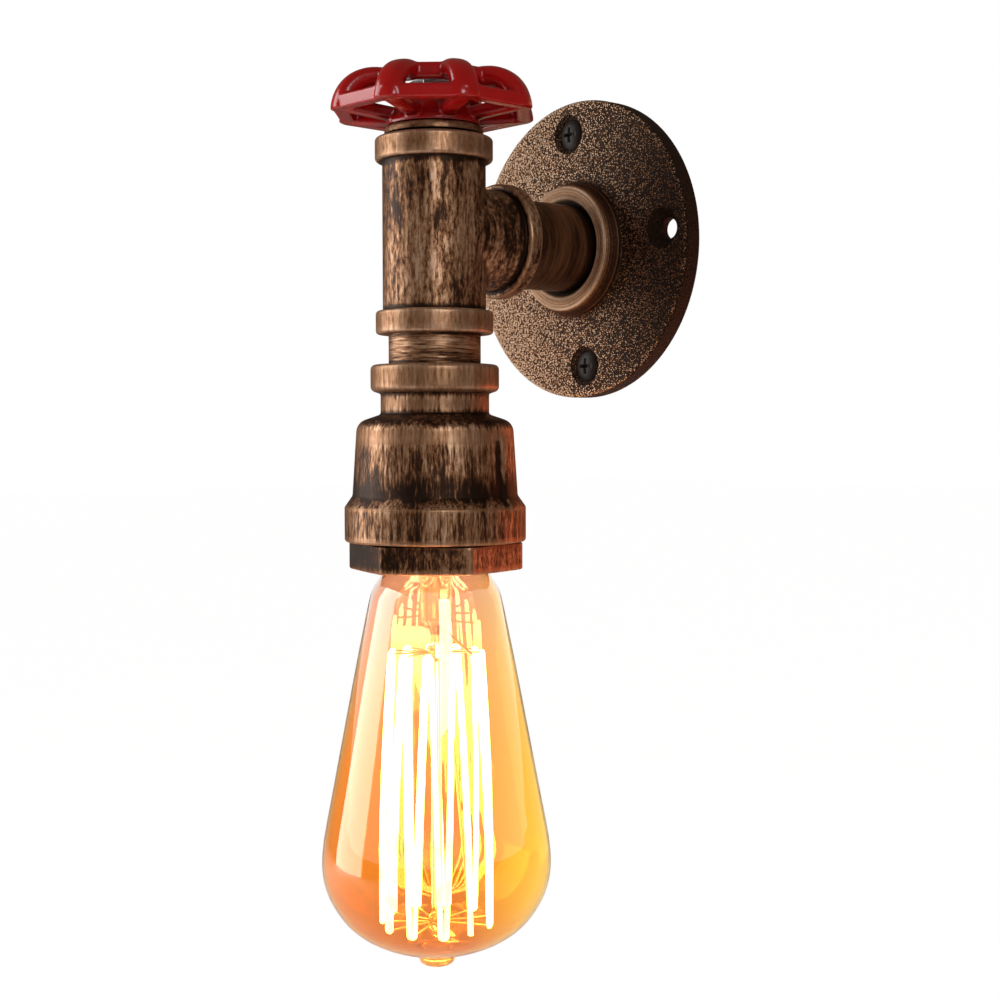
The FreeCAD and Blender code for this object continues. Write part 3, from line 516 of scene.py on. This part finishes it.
def hot_filament():
    """Carbonised thread at white heat: its brightness varies a little along the strand."""
    made, tree = material("hot_carbon_filament")
    place = add(tree, "TexCoord").outputs["Object"]
    waves = add(tree, "TexNoise", {"Vector": place, "Scale": 1000.0 / 6.0, "Detail": 1.0})
    heat = add(tree, "ValToRGB", {"Fac": waves}, stops=[(0.3, "#FFDFA0"), (0.6, "#FFF3D0")])
    shader = add(tree, "BsdfPrincipled", {"Base Color": "#3A2A1A", "Roughness": 0.6,
                                          "Emission Color": heat, "Emission Strength": 20.0})
    add(tree, "OutputMaterial", {"Surface": shader})
    return made


IRON_TEE = dry_brushed_iron("dry_brushed_cast_iron_tee", (0.8, 0.8, 2.4), -0.12)
IRON_PLUG = dry_brushed_iron("dry_brushed_turned_plug", (1.4, 1.4, 1.0), -0.30)
IRON_PIPE = dry_brushed_iron("dry_brushed_steel_pipe", (5.0, 5.0, 0.5), -0.10)
IRON_BRANCH = dry_brushed_iron("dry_brushed_steel_branch_pipe", (5.0, 0.6, 5.0), -0.24, 0.2, 0.15,
                               0.25)
IRON_BELL = dry_brushed_iron("dry_brushed_cast_iron_bell", (0.6, 0.6, 3.4), -0.15)
IRON_HEX = dry_brushed_iron("dry_brushed_cast_iron_hexagon", (0.6, 0.6, 2.2), -0.15, 0.4, 0.4)
IRON_FLANGE = sand_cast_iron("dry_brushed_sand_cast_flange", 0.6, 0.28)
RED = red_enamel()
ZINC = plated("zinc_plated_steel", "#B9BABC", 0.32)
BLACK_STEEL = plated("black_oxide_steel", "#1C140F", 0.45, metallic=0.6)
BRASS = plated("rolled_brass", "#C9A35A", 0.28)
TIN = plated("tinned_solder", "#B4B2AC", 0.4)
NICKEL = plated("nickel_support_wire", "#A79A86", 0.3, glow="#FFB860")
PORCELAIN = moulded("glazed_porcelain", "#ECE8DE", 0.18)
BLACK_GLASS = moulded("fused_black_glass", "#141316", 0.12)
BROWN_PVC = moulded("brown_extruded_pvc", "#5A3220", 0.45)
BLUE_PVC = moulded("blue_extruded_pvc", "#2A55A8", 0.45)
AMBER = amber_glass()
CLEAR = clear_glass()
HOT = hot_filament()


# ---- wall side -----------------------------------------------------------------------------------
RIM_RADIUS, RIM_HEIGHT = 44.5, 5.6
HOLE_CIRCLE, HOLE_LEAN = 35.25, 5.6  # the holes' distance from the axis, and their lean in degrees
SINK_RADIUS = 5.9  # of the countersinks at the face
SUNK_WEAR, CUT_WEAR = -1.6, -0.35  # wear inside the countersinks, and on the holes' other faces


def hole_centres():
    """The flange's four holes, (x, z) each."""
    a = np.radians(HOLE_LEAN + 90 * np.arange(4))
    return list(zip(HOLE_CIRCLE * np.cos(a), HOLE_CIRCLE * np.sin(a)))


def flange():
    """Turned flange with its hub. Bosses are added behind the four holes, the top and bottom ones
    1.5 mm clear of the wall for the strap, and countersunk holes are cut, dark inside."""
    disc = lathe([(SOCKET, 3.2, 0.2), (41.1, 3.2, 0.5), (41.1, 0, 0.2), (RIM_RADIUS, 0, 0.4),
                  (RIM_RADIUS, RIM_HEIGHT, 0.9), (20.3, RIM_HEIGHT, 2.0), (18.5, 11.7, 1.4),
                  (14.7, 11.7, 0.35), (SOCKET, 10.0, 0.2)], on_branch, segments=192)
    sink = [(0, -1, 0), (3.0, -1, 0), (3.0, 2.6, 0.3), (5.8, 5.4, 0.4), (6.6, 6.6, 0), (0, 6.6, 0)]
    bosses, holes = [], []
    for k, (x, z) in enumerate(hole_centres()):
        low = 1.5 if k % 2 else 0.0
        boss = [(0, low, 0), (7.7, low, 0.4), (7.7, 4.4, 0), (0, 4.4, 0)]
        for kept, corners, worn in ((bosses, boss, 0.0), (holes, sink, CUT_WEAR)):
            grid, edge, *rest = lathe(corners, on_branch, closed=False, segments=48)
            kept.append((grid + [x, 0, z], np.full(edge.shape, worn), *rest))
    cutters = []
    for name, made in (("bosses", bosses), ("holes", holes)):
        holder = bpy.data.objects.new(name, mesh_of(name, made))
        bpy.context.scene.collection.objects.link(holder)
        cutters.append(holder)
    steps = [("BOOLEAN", {"operation": operation, "object": cutter, "solver": "EXACT"})
             for operation, cutter in zip(("UNION", "DIFFERENCE"), cutters)]
    mesh = applied(mesh_of("flange", [disc]), *steps)
    for holder in cutters:
        bpy.data.objects.remove(holder)
    tidy(mesh)
    points = np.empty(len(mesh.vertices) * 3, np.float32)
    mesh.vertices.foreach_get("co", points)
    points = points.reshape(-1, 3) / MM
    away = np.min([np.hypot(points[:, 0] - x, points[:, 2] - z) for x, z in hole_centres()], axis=0)
    worn = np.empty(len(mesh.vertices), np.float32)
    stored = mesh.attributes["wear"].data
    stored.foreach_get("value", worn)
    stored.foreach_set("value", np.where(away < SINK_RADIUS, SUNK_WEAR, worn).astype(np.float32))
    return mesh


def pipe_outline(low, high):
    """A length of pipe with eased ends."""
    return [(BORE, low, 0.3), (PIPE, low, 0.5), (PIPE, high, 0.5), (BORE, high, 0.3)]


def refined(node, finish, body, slot, sharp=32):
    """A small CAD node with its corners merged and its curved faces shaded smooth."""
    mesh = frame["nodes"][node].data.copy()
    mesh.transform(frame["nodes"][node].matrix_world)
    tidy(mesh, sharp)
    return piece(node + "_fine", mesh, finish, body, slot, node)


piece("wall_flange_cast", flange(), IRON_FLANGE, "fixture", "aged_bronze_iron", "wall_flange")
near, far = (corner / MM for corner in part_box("wall_nipple"))
nipple = lathe(pipe_outline(-far.y, -near.y), on_branch, step=2.5)
piece("wall_nipple_pipe", [nipple], IRON_BRANCH, "fixture", "aged_bronze_iron", "wall_nipple")


# ---- tee -----------------------------------------------------------------------------------------
TEE, BAND = 14.45, 16.45  # radii of the tee's body and of the bands at its mouths


def branch_fillet(r=TEE, f=2.6, n=97, m=9):
    """Cast fillet where the branch leaves the run, both of radius r: a ball of radius f rolls in
    the corner. Its centre is (x, s, +-s) with s = sqrt((r+f)^2 - x^2), and the patch is the arc
    between its touching points, from direction -(x, s, 0)/(r+f) to -(x, 0, +-s)/(r+f). It stays
    dark."""
    x = (r + f) * np.sin(np.radians(np.linspace(-86, 86, n)))[:, None]
    s = np.sqrt(np.maximum((r + f) ** 2 - x ** 2, 0))
    t = np.linspace(0, 1, m)[None, :]
    patches = []
    for side in (1, -1):
        ax, ay, az = -x / (r + f), -s / (r + f), 0 * s
        bx, by, bz = -x / (r + f), 0 * s, -side * s / (r + f)
        gx, gy, gz = ax * (1 - t) + bx * t, ay * (1 - t) + by * t, az * (1 - t) + bz * t
        size = np.sqrt(gx ** 2 + gy ** 2 + gz ** 2)
        grid = np.stack([x + f * gx / size, LAMP_Y + s + f * gy / size,
                         side * s + f * gz / size], -1)
        patches.append((grid, -0.6 * np.sin(np.pi * t) * (s / (r + f)), False, False))
    return patches


def tee():
    """The run on the lamp axis, the branch to the wall, and the cast fillet between them."""
    run = lathe([(SOCKET, -27.6, 0.3), (BAND, -27.6, 0.9), (BAND, -21.1, 1.2), (TEE, -21.1, 0.5),
                 (TEE, 20.2, 0.5), (BAND, 20.2, 1.2), (BAND, 26.7, 0.9), (SOCKET, 26.7, 0.3),
                 (SOCKET, 15.1, 0.2), (BORE, 15.1, 0.2), (BORE, -16.0, 0.2),
                 (SOCKET, -16.0, 0.2)], proud=lambda r, z: r > 15.6)
    branch = lathe([(BORE, BRANCH - 10.6, 0.2), (TEE, BRANCH, 0.2), (TEE, BRANCH - 21.9, 0.5),
                    (BAND, BRANCH - 21.9, 1.2), (BAND, BRANCH - 26.7, 0.9),
                    (SOCKET, BRANCH - 26.7, 0.3), (SOCKET, BRANCH - 15.1, 0.2),
                    (BORE, BRANCH - 15.1, 0.2)], on_branch, proud=lambda r, h: r > 0, rub=-0.25)
    return [run, branch] + branch_fillet()


piece("tee_cast", tee(), IRON_TEE, "fixture", "aged_bronze_iron", "tee_fitting")
plug = lathe([(4.05, 15.8, 0.1), (12.9, 15.8, 0.4), (12.9, 27.4, 0.1), (13.8, 27.6, 0.2),
              (13.8, 29.7, 0.9), (4.05, 29.7, 0.2)])
piece("bonnet_plug_turned", [plug], IRON_PLUG, "fixture", "aged_bronze_iron", "bonnet_plug")
for node in ("valve_stem", "stem_nuts", "wheel_washer"):
    refined(node, ZINC, "fixture", "zinc_steel")
refined("flange_screws", BLACK_STEEL, "fixture", "black_steel")


# ---- handwheel -----------------------------------------------------------------------------------
WHEEL_LOW, WHEEL_TURN = 29.8, np.radians(23.9)  # its underside, and the turn of its first corner
WHEEL_CORNER = 29.2  # from the axis to the octagon's corners
SKIN = 0.34  # voxel of the casting's skin


def upright_path(at, rise):
    """A path in the upright plane through the wheel's first corner: distances from the axis,
    heights."""
    out = np.array([np.cos(WHEEL_TURN), np.sin(WHEEL_TURN), 0.0])
    return np.array([0, LAMP_Y, WHEEL_LOW]) + at * out + np.array([0, 0, 1.0]) * rise


def octagon(outside, inside, low, high, low_ease, high_ease, segments, sharp):
    """An octagonal ring between two flat distances and two heights, with its edges eased."""
    low, high = low + WHEEL_LOW, high + WHEEL_LOW
    rows = [(outside, low, 1, low_ease), (outside, high, 1, high_ease),
            (inside, high, 1, high_ease), (inside, low, 1, low_ease)]
    return prism(rows, 8, outside, WHEEL_TURN, segments, sharp)


def handwheel():
    """Eight-lobed wheel, in heights h from its underside: an octagonal band, lobes that arch from
    its corners to an upper ring on leaning quarter superellipses (16.7 + 9.3 (cos t)^0.85 - 0.12 (h
    - 4.2), h = 4.2 + 8.5 (sin t)^0.85), arms from the hub to the corners, all grown together by a
    voxel skin and softened as a casting is."""
    side = np.array([-np.sin(WHEEL_TURN), np.cos(WHEEL_TURN), 0.0])
    flat = WHEEL_CORNER * np.cos(np.pi / 8) + 0.15
    hub = [(4.06, 0, 0.1), (13.3, 0, 0.5), (13.3, 1.2, 0.8), (9.4, 7.2, 0.8), (4.06, 7.2, 0.3)]
    parts = [octagon(flat, flat - 4.2, 3.1, 6.9, 0.7, 0.9, 320, 90.0),
             octagon(16.6, 12.2, 10.4, 14.8, 1.4, 1.4, 240, 40.0),
             lathe([(r, WHEEL_LOW + h, ease) for r, h, ease in hub])]
    quarter = np.radians(np.linspace(0, 90, 20))
    rise = 4.2 + 8.5 * np.sin(quarter) ** 0.85
    arch = np.stack([16.7 + 9.3 * np.cos(quarter) ** 0.85 - 0.12 * (rise - 4.2), rise], 1)
    arch = spaced(np.vstack([[(26.0, 3.3)], arch, [(14.5, 12.7)]]), 0.8, False)
    lift = np.clip((arch[:, 1] - 4) / 8, 0, 1)
    path = upright_path(arch[:, :1], arch[:, 1:])
    lobe = beam(path, side, 7.9 - 0.7 * lift, 6.6 - 1.2 * lift, 2.6, 36)
    along = np.linspace(0, 1, 24)[:, None]
    path = upright_path(8.5 + 19.3 * along, 2.5 + 2.5 * along)
    arm = beam(path, side, np.full(24, 4.6), np.full(24, 3.7), 4.0, 28)
    parts += turned_copies(lobe, 8) + turned_copies(arm, 8)
    mesh = applied(mesh_of("wheel_parts", parts),
                   ("REMESH", {"mode": "VOXEL", "voxel_size": SKIN * MM}),
                   ("SMOOTH", {"factor": 0.5, "iterations": 4}))
    mesh.shade_smooth()
    return mesh


piece("handwheel_cast", handwheel(), RED, "wheel", "red_enamel", "handwheel")


# ---- below the tee -------------------------------------------------------------------------------
RIB_TURN = np.radians(23.0)
BELL_SKIN = 20.5  # everything on the bell further out than this is its outside


def from_rib(turn, r):
    """Distance round the wall to the middle of the nearer rib."""
    return r * np.arcsin(np.abs(np.sin(turn - RIB_TURN)))


def rib_swell(turn, r, z):
    """Two opposite ribs on the bell: 0.9 mm high and 8 mm wide between heights -56.6 and -76.2.
    Their sides rise as 1/(1 + exp(-x/0.28 mm)) and their ends as 1/(1 + exp(-x/0.35 mm))."""
    wide = 1 / (1 + np.exp((from_rib(turn, r) - 4.0) / 0.28))
    tall = 1 / (1 + np.exp(-(-56.6 - z) / 0.35)) * 1 / (1 + np.exp(-(z + 76.2) / 0.35))
    return 0.9 * wide * tall * (r > BELL_SKIN)


def bell_marks(turn, r, z):
    """Marks on the bell: bare lines on the ribs' long edges, dark at their feet and under the neck,
    a painted shadow above the lower collar, and a bare band round the shoulder, each height
    exp(-(distance/width)^2)."""
    def hump(at, middle, width):
        return np.exp(-((at - middle) / width) ** 2)

    arc, outside = from_rib(turn, r), r > BELL_SKIN
    beside = (z < -57.0) & (z > -75.5) & outside
    lines = beside * (0.9 * hump(arc, 3.7, 0.4) - 1.3 * hump(arc, 5.1, 0.8))
    shoulder = (r > 19.0) * 0.75 * hump(z, -56.6, 2.0)
    # the last term is a painted shadow above the lower collar
    return lines + shoulder - hump(z, -51.8, 1.5) - outside * 0.9 * hump(z, -70.5, 3.0)


def reducing_socket():
    """Bell reducer: banded mouth, neck, rounded shoulder, flaring skirt and lower collar."""
    outline = [(SOCKET, -36.1, 0.3), (18.0, -36.1, 1.3), (18.0, -43.3, 1.6), (15.22, -44.2, 0.6),
               (15.22, -49.9, 0.9), (21.9, -52.2, 3.8), (22.4, -60.0, 12), (23.2, -72.6, 2.0),
               (25.45, -75.8, 1.0), (25.45, -85.5, 0.9), (21.95, -85.5, 0.3), (21.95, -72.8, 0.2),
               (18.9, -72.8, 0.6), (18.9, -57.5, 2.0), (13.5, -52.7, 0.6), (BORE, -52.7, 0.2),
               (BORE, -47.7, 0.1), (SOCKET, -47.7, 0.1)]
    return [lathe(outline, segments=288, step=1.1, swell=rib_swell, marks=bell_marks,
                  proud=lambda r, z: (r < 18.5) & (z > -49.5))]


def hex_bush():
    """Hexagon bush: a six-sided head with eased edges round a plain mouth, and a round neck in the
    reducer."""
    flat, clocking = 21.5, np.radians(43.4)
    outline = [(17.6, -93.5, 0, 0.6), (flat, -93.5, 1, 0.7), (flat, -85.6, 1, 0.7),
               (21.3, -85.6, 0, 0.1), (21.3, -73.1, 0, 0.5), (19.6, -73.1, 0, 0.3),
               (19.6, -89.2, 0, 0.1), (17.6, -89.2, 0, 0.1)]
    return [prism(outline, 6, flat, clocking, 360)]


near, far = (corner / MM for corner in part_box("drop_nipple"))
nipple = lathe(pipe_outline(near.z, far.z), step=2.5)
piece("drop_nipple_pipe", [nipple], IRON_PIPE, "fixture", "aged_bronze_iron", "drop_nipple")
piece("reducing_socket_cast", reducing_socket(), IRON_BELL, "fixture", "aged_bronze_iron",
      "reducing_socket")
piece("hex_bush_cast", hex_bush(), IRON_HEX, "fixture", "aged_bronze_iron", "hex_bush")


# ---- bulb ----------------------------------------------------------------------------------------
def through(points, per=8):
    """A smooth line through points: the Catmull-Rom spline 0.5 (2b + (c-a)t + (2a-5b+4c-d)t^2 +
    (3b-a-3c+d)t^3) between b and c, with a before and d after them."""
    p = np.asarray(points, float)
    p = np.vstack([2 * p[0] - p[1], p, 2 * p[-1] - p[-2]])
    a, b, c, d = p[:-3, None], p[1:-2, None], p[2:-1, None], p[3:, None]
    t = np.linspace(0, 1, per, endpoint=False)[None, :, None]
    line = 0.5 * (2 * b + (c - a) * t + (2 * a - 5 * b + 4 * c - d) * t ** 2
                  + (3 * b - a - 3 * c + d) * t ** 3)
    return np.vstack([line.reshape(-1, p.shape[1]), p[-2:-1]])


def bulb_glass():
    """Teardrop envelope: one line down the outside and back up 0.8 mm inside it, turned round the
    lamp axis."""
    outer = through([(11.6, -84.7), (11.6, -87.5), (12.4, -90.5), (15.2, -95.0), (17.6, -98.9),
                     (18.75, -102.3), (21.11, -113.6), (23.35, -124.9), (25.5, -136.2),
                     (27.65, -147.5), (29.8, -158.8), (31.0, -165.0), (31.95, -170.6),
                     (32.38, -176.5), (31.75, -181.7), (29.9, -186.7), (26.6, -191.8),
                     (23.2, -195.1), (19.2, -197.7), (14.0, -200.0), (9.0, -201.4), (6.4, -201.9),
                     (5.4, -202.8), (5.2, -204.1), (4.5, -205.4), (2.8, -206.1), (0.0, -206.2)])
    wall, floor_height = 0.8, -201.0
    ahead = np.gradient(outer, axis=0)
    inward = np.stack([ahead[:, 1], -ahead[:, 0]], 1) / np.linalg.norm(ahead, axis=1)[:, None]
    inner = (outer + wall * inward)[::-1]
    inner = inner[(inner[:, 1] > floor_height - 0.3) & (inner[:, 0] > 1.0)]
    line = np.vstack([outer, [(0.0, floor_height)], inner])
    turn = np.linspace(0, 2 * np.pi, 128, endpoint=False)[None, :]
    return [(on_lamp(line[:, :1], line[:, 1:], turn), np.zeros((len(line), 128)), True, True)]


STRANDS, CAGE_TURN = 22, 16.4  # the cage's bends, and the turn of the first in degrees
CAGE_TOP, CAGE_FOOT = (13.0, -117.0), (15.6, -194.0)  # radius, height of upper and lower bends
THREAD, HOOK, LEADIN = 0.75, 0.3, 0.4  # radii of the wires


def outward(points):
    """Unit vectors from the lamp axis to points."""
    out = (points - [0, LAMP_Y, 0]) * [1, 1, 0]
    return out / np.linalg.norm(out, axis=-1, keepdims=True)


def cage_corner(k):
    """Bend k of the cage: even ones above, odd ones below."""
    a = np.radians(CAGE_TURN) + 2 * np.pi * k / STRANDS
    r, z = (np.where(k % 2 == 0, high, low) for high, low in zip(CAGE_TOP, CAGE_FOOT))
    return np.stack([r * np.cos(a), LAMP_Y + r * np.sin(a), z], -1)


def filament():
    """One thread laid up and down through the hooks: it crosses each hook over 1.6 mm, the bends
    are rounded, and each run bows out by 0.8 mm sin(pi t)."""
    bends = cage_corner(np.arange(STRANDS))
    out = outward(bends)
    across = np.stack([-out[:, 1], out[:, 0], out[:, 2]], 1) * 0.8
    corners = np.stack([bends - across, bends + across], 1).reshape(-1, 3)[1:-1]
    line = rounded(np.hstack([corners, np.full((len(corners), 1), 0.7)]), False, 5)
    line = spaced(line, 2.5, False)
    up = (line[:, 2] - CAGE_FOOT[1]) / (CAGE_TOP[1] - CAGE_FOOT[1])
    line = line + outward(line) * 0.8 * np.sin(np.pi * np.clip(up, 0, 1))[:, None]
    return [tube(line, THREAD, outward(line))]


def straight(start, end, radius, n):
    """A short straight wire of n points."""
    t = np.linspace(0, 1, n)[:, None]
    path = np.array(start) * (1 - t) + np.array(end) * t
    level = abs(path[-1, 2] - path[0, 2]) < 1
    return tube(path, radius, np.tile([0.3, 0.2, 0.9] if level else [1.0, 0.3, 0.0], (n, 1)))


def hooks():
    """Support wires from the two beads out to the filament's bends."""
    made = []
    for k in range(1, STRANDS - 1):
        tip = cage_corner(k)
        root = np.array([0, LAMP_Y, tip[2]])
        reach = np.linalg.norm(tip - root)
        ray = (tip - root) / reach
        made.append(straight(root + 2.2 * ray, root + (reach - 0.6) * ray, HOOK, 6))
    return made


def leadins():
    """Two lead-in wires from the press of the stem out to the filament's ends."""
    made = []
    for angle, k in ((60.0, 0), (-7.5, STRANDS - 1)):
        a = np.radians(CAGE_TURN + angle)
        start = np.array([2.8 * np.cos(a), LAMP_Y + 2.8 * np.sin(a), -111.0])
        tip = cage_corner(np.array(k))
        made.append(straight(start, tip - outward(tip) * 0.85, LEADIN, 10))
    return made


def stem():
    """Flared foot, pressed tube and rod with two beads."""
    bead = [(1.5, 2.6, 0.3), (2.6, 1.3, 1.2), (2.6, -1.3, 1.2), (1.5, -2.6, 0.3)]
    beads = [(r, z + rise, ease) for z in (CAGE_TOP[1], CAGE_FOOT[1]) for r, rise, ease in bead]
    foot = [(0, -94.0, 0), (3.6, -94.0, 0.6), (10.0, -87.1, 0.3), (10.85, -87.1, 0.3),
            (10.85, -87.9, 0.4), (4.4, -94.9, 1.5), (4.4, -107.6, 1.5), (1.5, -112.0, 0.6)]
    return [lathe(foot + beads + [(1.5, -198.2, 0.6), (0, -198.2, 0)], closed=False, segments=48)]


piece("bulb_glass_blown", bulb_glass(), AMBER, "bulb", "amber_glass", "bulb_glass")
piece("glass_stem_drawn", stem(), CLEAR, "bulb", "clear_glass", "glass_stem")
piece("filament_thread", filament(), HOT, "bulb", "hot_filament", "filament")
piece("cage_hooks_wire", hooks(), NICKEL, "bulb", "nickel_wire", "cage_hooks")
piece("leadin_wires_drawn", leadins(), NICKEL, "bulb", "nickel_wire", "leadin_wires")

# ---- CAD nodes that keep their shape -------------------------------------------------------------
KEPT = {"mounting_strap": ZINC, "earth_screw": BRASS, "lampholder_body": PORCELAIN,
        "terminal_screws": BRASS, "screw_shell": BRASS, "centre_contact": BRASS, "bulb_cap": BRASS,
        "cap_insulator": BLACK_GLASS, "cap_contact": TIN, "live_wire": BROWN_PVC,
        "neutral_wire": BLUE_PVC}
for node, finish in KEPT.items():
    for slot in frame["nodes"][node].material_slots:
        slot.material = finish


# ---- stage, light and camera ---------------------------------------------------------------------
FLOOR, FLOOR_HALF = -0.30, 6.0  # metres
AIM = (0.0, -0.061, -0.06)  # where the softboxes look
CAMERA_AT = (0.35024, -0.34795, -0.05522)
CAMERA_TURN, CAMERA_DOWN, CAMERA_ROLL = 48.37, 2.38, -0.14  # degrees
LENS, FILM = 57.94, 36.0  # mm


def any_ray(tree, *kinds):
    """1 for rays of any of these kinds."""
    path = add(tree, "LightPath")
    seen = path.outputs[kinds[0]]
    for kind in kinds[1:]:
        seen = add(tree, "Math", {0: seen, 1: path.outputs[kind]}, operation="MAXIMUM")
    return seen


def floor():
    """A plain pale floor under the light, white to the camera and through glass, and keeping a soft
    shadow."""
    made, tree = material("pale_studio_floor")
    seen = any_ray(tree, "Is Camera Ray", "Is Transmission Ray")
    share = add(tree, "Math", {0: seen, 1: 0.94}, operation="MULTIPLY")
    matte = add(tree, "BsdfDiffuse", {"Color": "#F2F2F2"})
    white = add(tree, "Emission", {"Color": "#FFFFFF", "Strength": 1.05})
    mixed = add(tree, "MixShader", {0: share, 1: matte, 2: white})
    add(tree, "OutputMaterial", {"Surface": mixed})
    mesh = bpy.data.meshes.new("floor")
    corners = [(-1, -1), (1, -1), (1, 1), (-1, 1)]
    points = [(x * FLOOR_HALF, y * FLOOR_HALF, FLOOR) for x, y in corners]
    mesh.from_pydata(points, [], [(0, 1, 2, 3)])
    mesh.materials.append(made)
    made_floor = bpy.data.objects.new("floor", mesh)
    bpy.context.scene.collection.objects.link(made_floor)


def world():
    """White to the camera, through glass and in its mirror-sharp reflections; elsewhere a dim warm
    room."""
    made = bpy.data.worlds.new("studio")
    made.use_nodes = True
    tree = made.node_tree
    tree.nodes.clear()
    seen = any_ray(tree, "Is Camera Ray", "Is Singular Ray", "Is Transmission Ray")
    colour = add(tree, "Mix", {0: seen, 6: "#FFE2CC", 7: "#FFFFFF"}, data_type="RGBA")
    strength = add(tree, "MapRange", {"Value": seen, "To Min": 0.14, "To Max": 1.0})
    back = add(tree, "Background", {"Color": colour, "Strength": strength})
    add(tree, "OutputWorld", {"Surface": back})
    bpy.context.scene.world = made


def lit(data, place, watts, code):
    """Puts a light in the scene."""
    data.energy = watts
    data.color = linear(code)[:3]
    made = bpy.data.objects.new(data.name, data)
    made.location = place
    bpy.context.scene.collection.objects.link(made)
    return made


def softbox(name, place, aim, size, watts, code="#FFFFFF"):
    """A rectangular soft light that faces a point."""
    data = bpy.data.lights.new(name, "AREA")
    data.shape = "RECTANGLE"
    data.size, data.size_y = size
    made = lit(data, place, watts, code)
    made.rotation_euler = (Vector(aim) - Vector(place)).to_track_quat("-Z", "Y").to_euler()


def filament_light(name, place, radius, watts, code):
    """The filament's light on the fittings: a ball that isn't seen itself."""
    data = bpy.data.lights.new(name, "POINT")
    data.shadow_soft_size = radius
    made = lit(data, place, watts, code)
    made.visible_camera = made.visible_glossy = made.visible_transmission = False


def camera():
    """The photograph's viewpoint: turned from the wall's normal, a little down, and rolled."""
    az, pitch, roll = np.radians([CAMERA_TURN, CAMERA_DOWN, CAMERA_ROLL])
    ahead = np.array([-np.sin(az) * np.cos(pitch), np.cos(az) * np.cos(pitch), -np.sin(pitch)])
    right = np.array([np.cos(az), np.sin(az), 0.0])
    up = np.cross(right, ahead)
    right, up = right * np.cos(roll) + up * np.sin(roll), -right * np.sin(roll) + up * np.cos(roll)
    data = bpy.data.cameras.new("camera")
    data.sensor_width, data.lens, data.clip_start = FILM, LENS, 0.01
    made = bpy.data.objects.new("camera", data)
    turn = Matrix(np.stack([right, up, -ahead], 1).tolist()).to_4x4()
    made.matrix_world = Matrix.Translation(CAMERA_AT) @ turn
    bpy.context.scene.collection.objects.link(made)
    bpy.context.scene.camera = made


floor()
world()
camera()
softbox("left_softbox", (-0.49, -0.52, 0.06), AIM, (0.52, 0.80), 5.0)
softbox("front_softbox", (0.80, -0.42, 0.24), AIM, (0.30, 0.42), 2.6)
softbox("warm_fill", (-0.06, 0.55, -0.08), AIM, (0.30, 0.60), 0.7, "#FF8A4C")
softbox("low_warm_bounce", (0.147, 0.311, -0.14), (0.0, -0.061, -0.10), (0.16, 0.14), 0.14,
        "#FF6A2C")
filament_light("filament_glow", (0.0, -0.061, -0.155), 0.012, 0.22, "#FF9A45")

bpy.context.scene.view_settings.view_transform = "Standard"
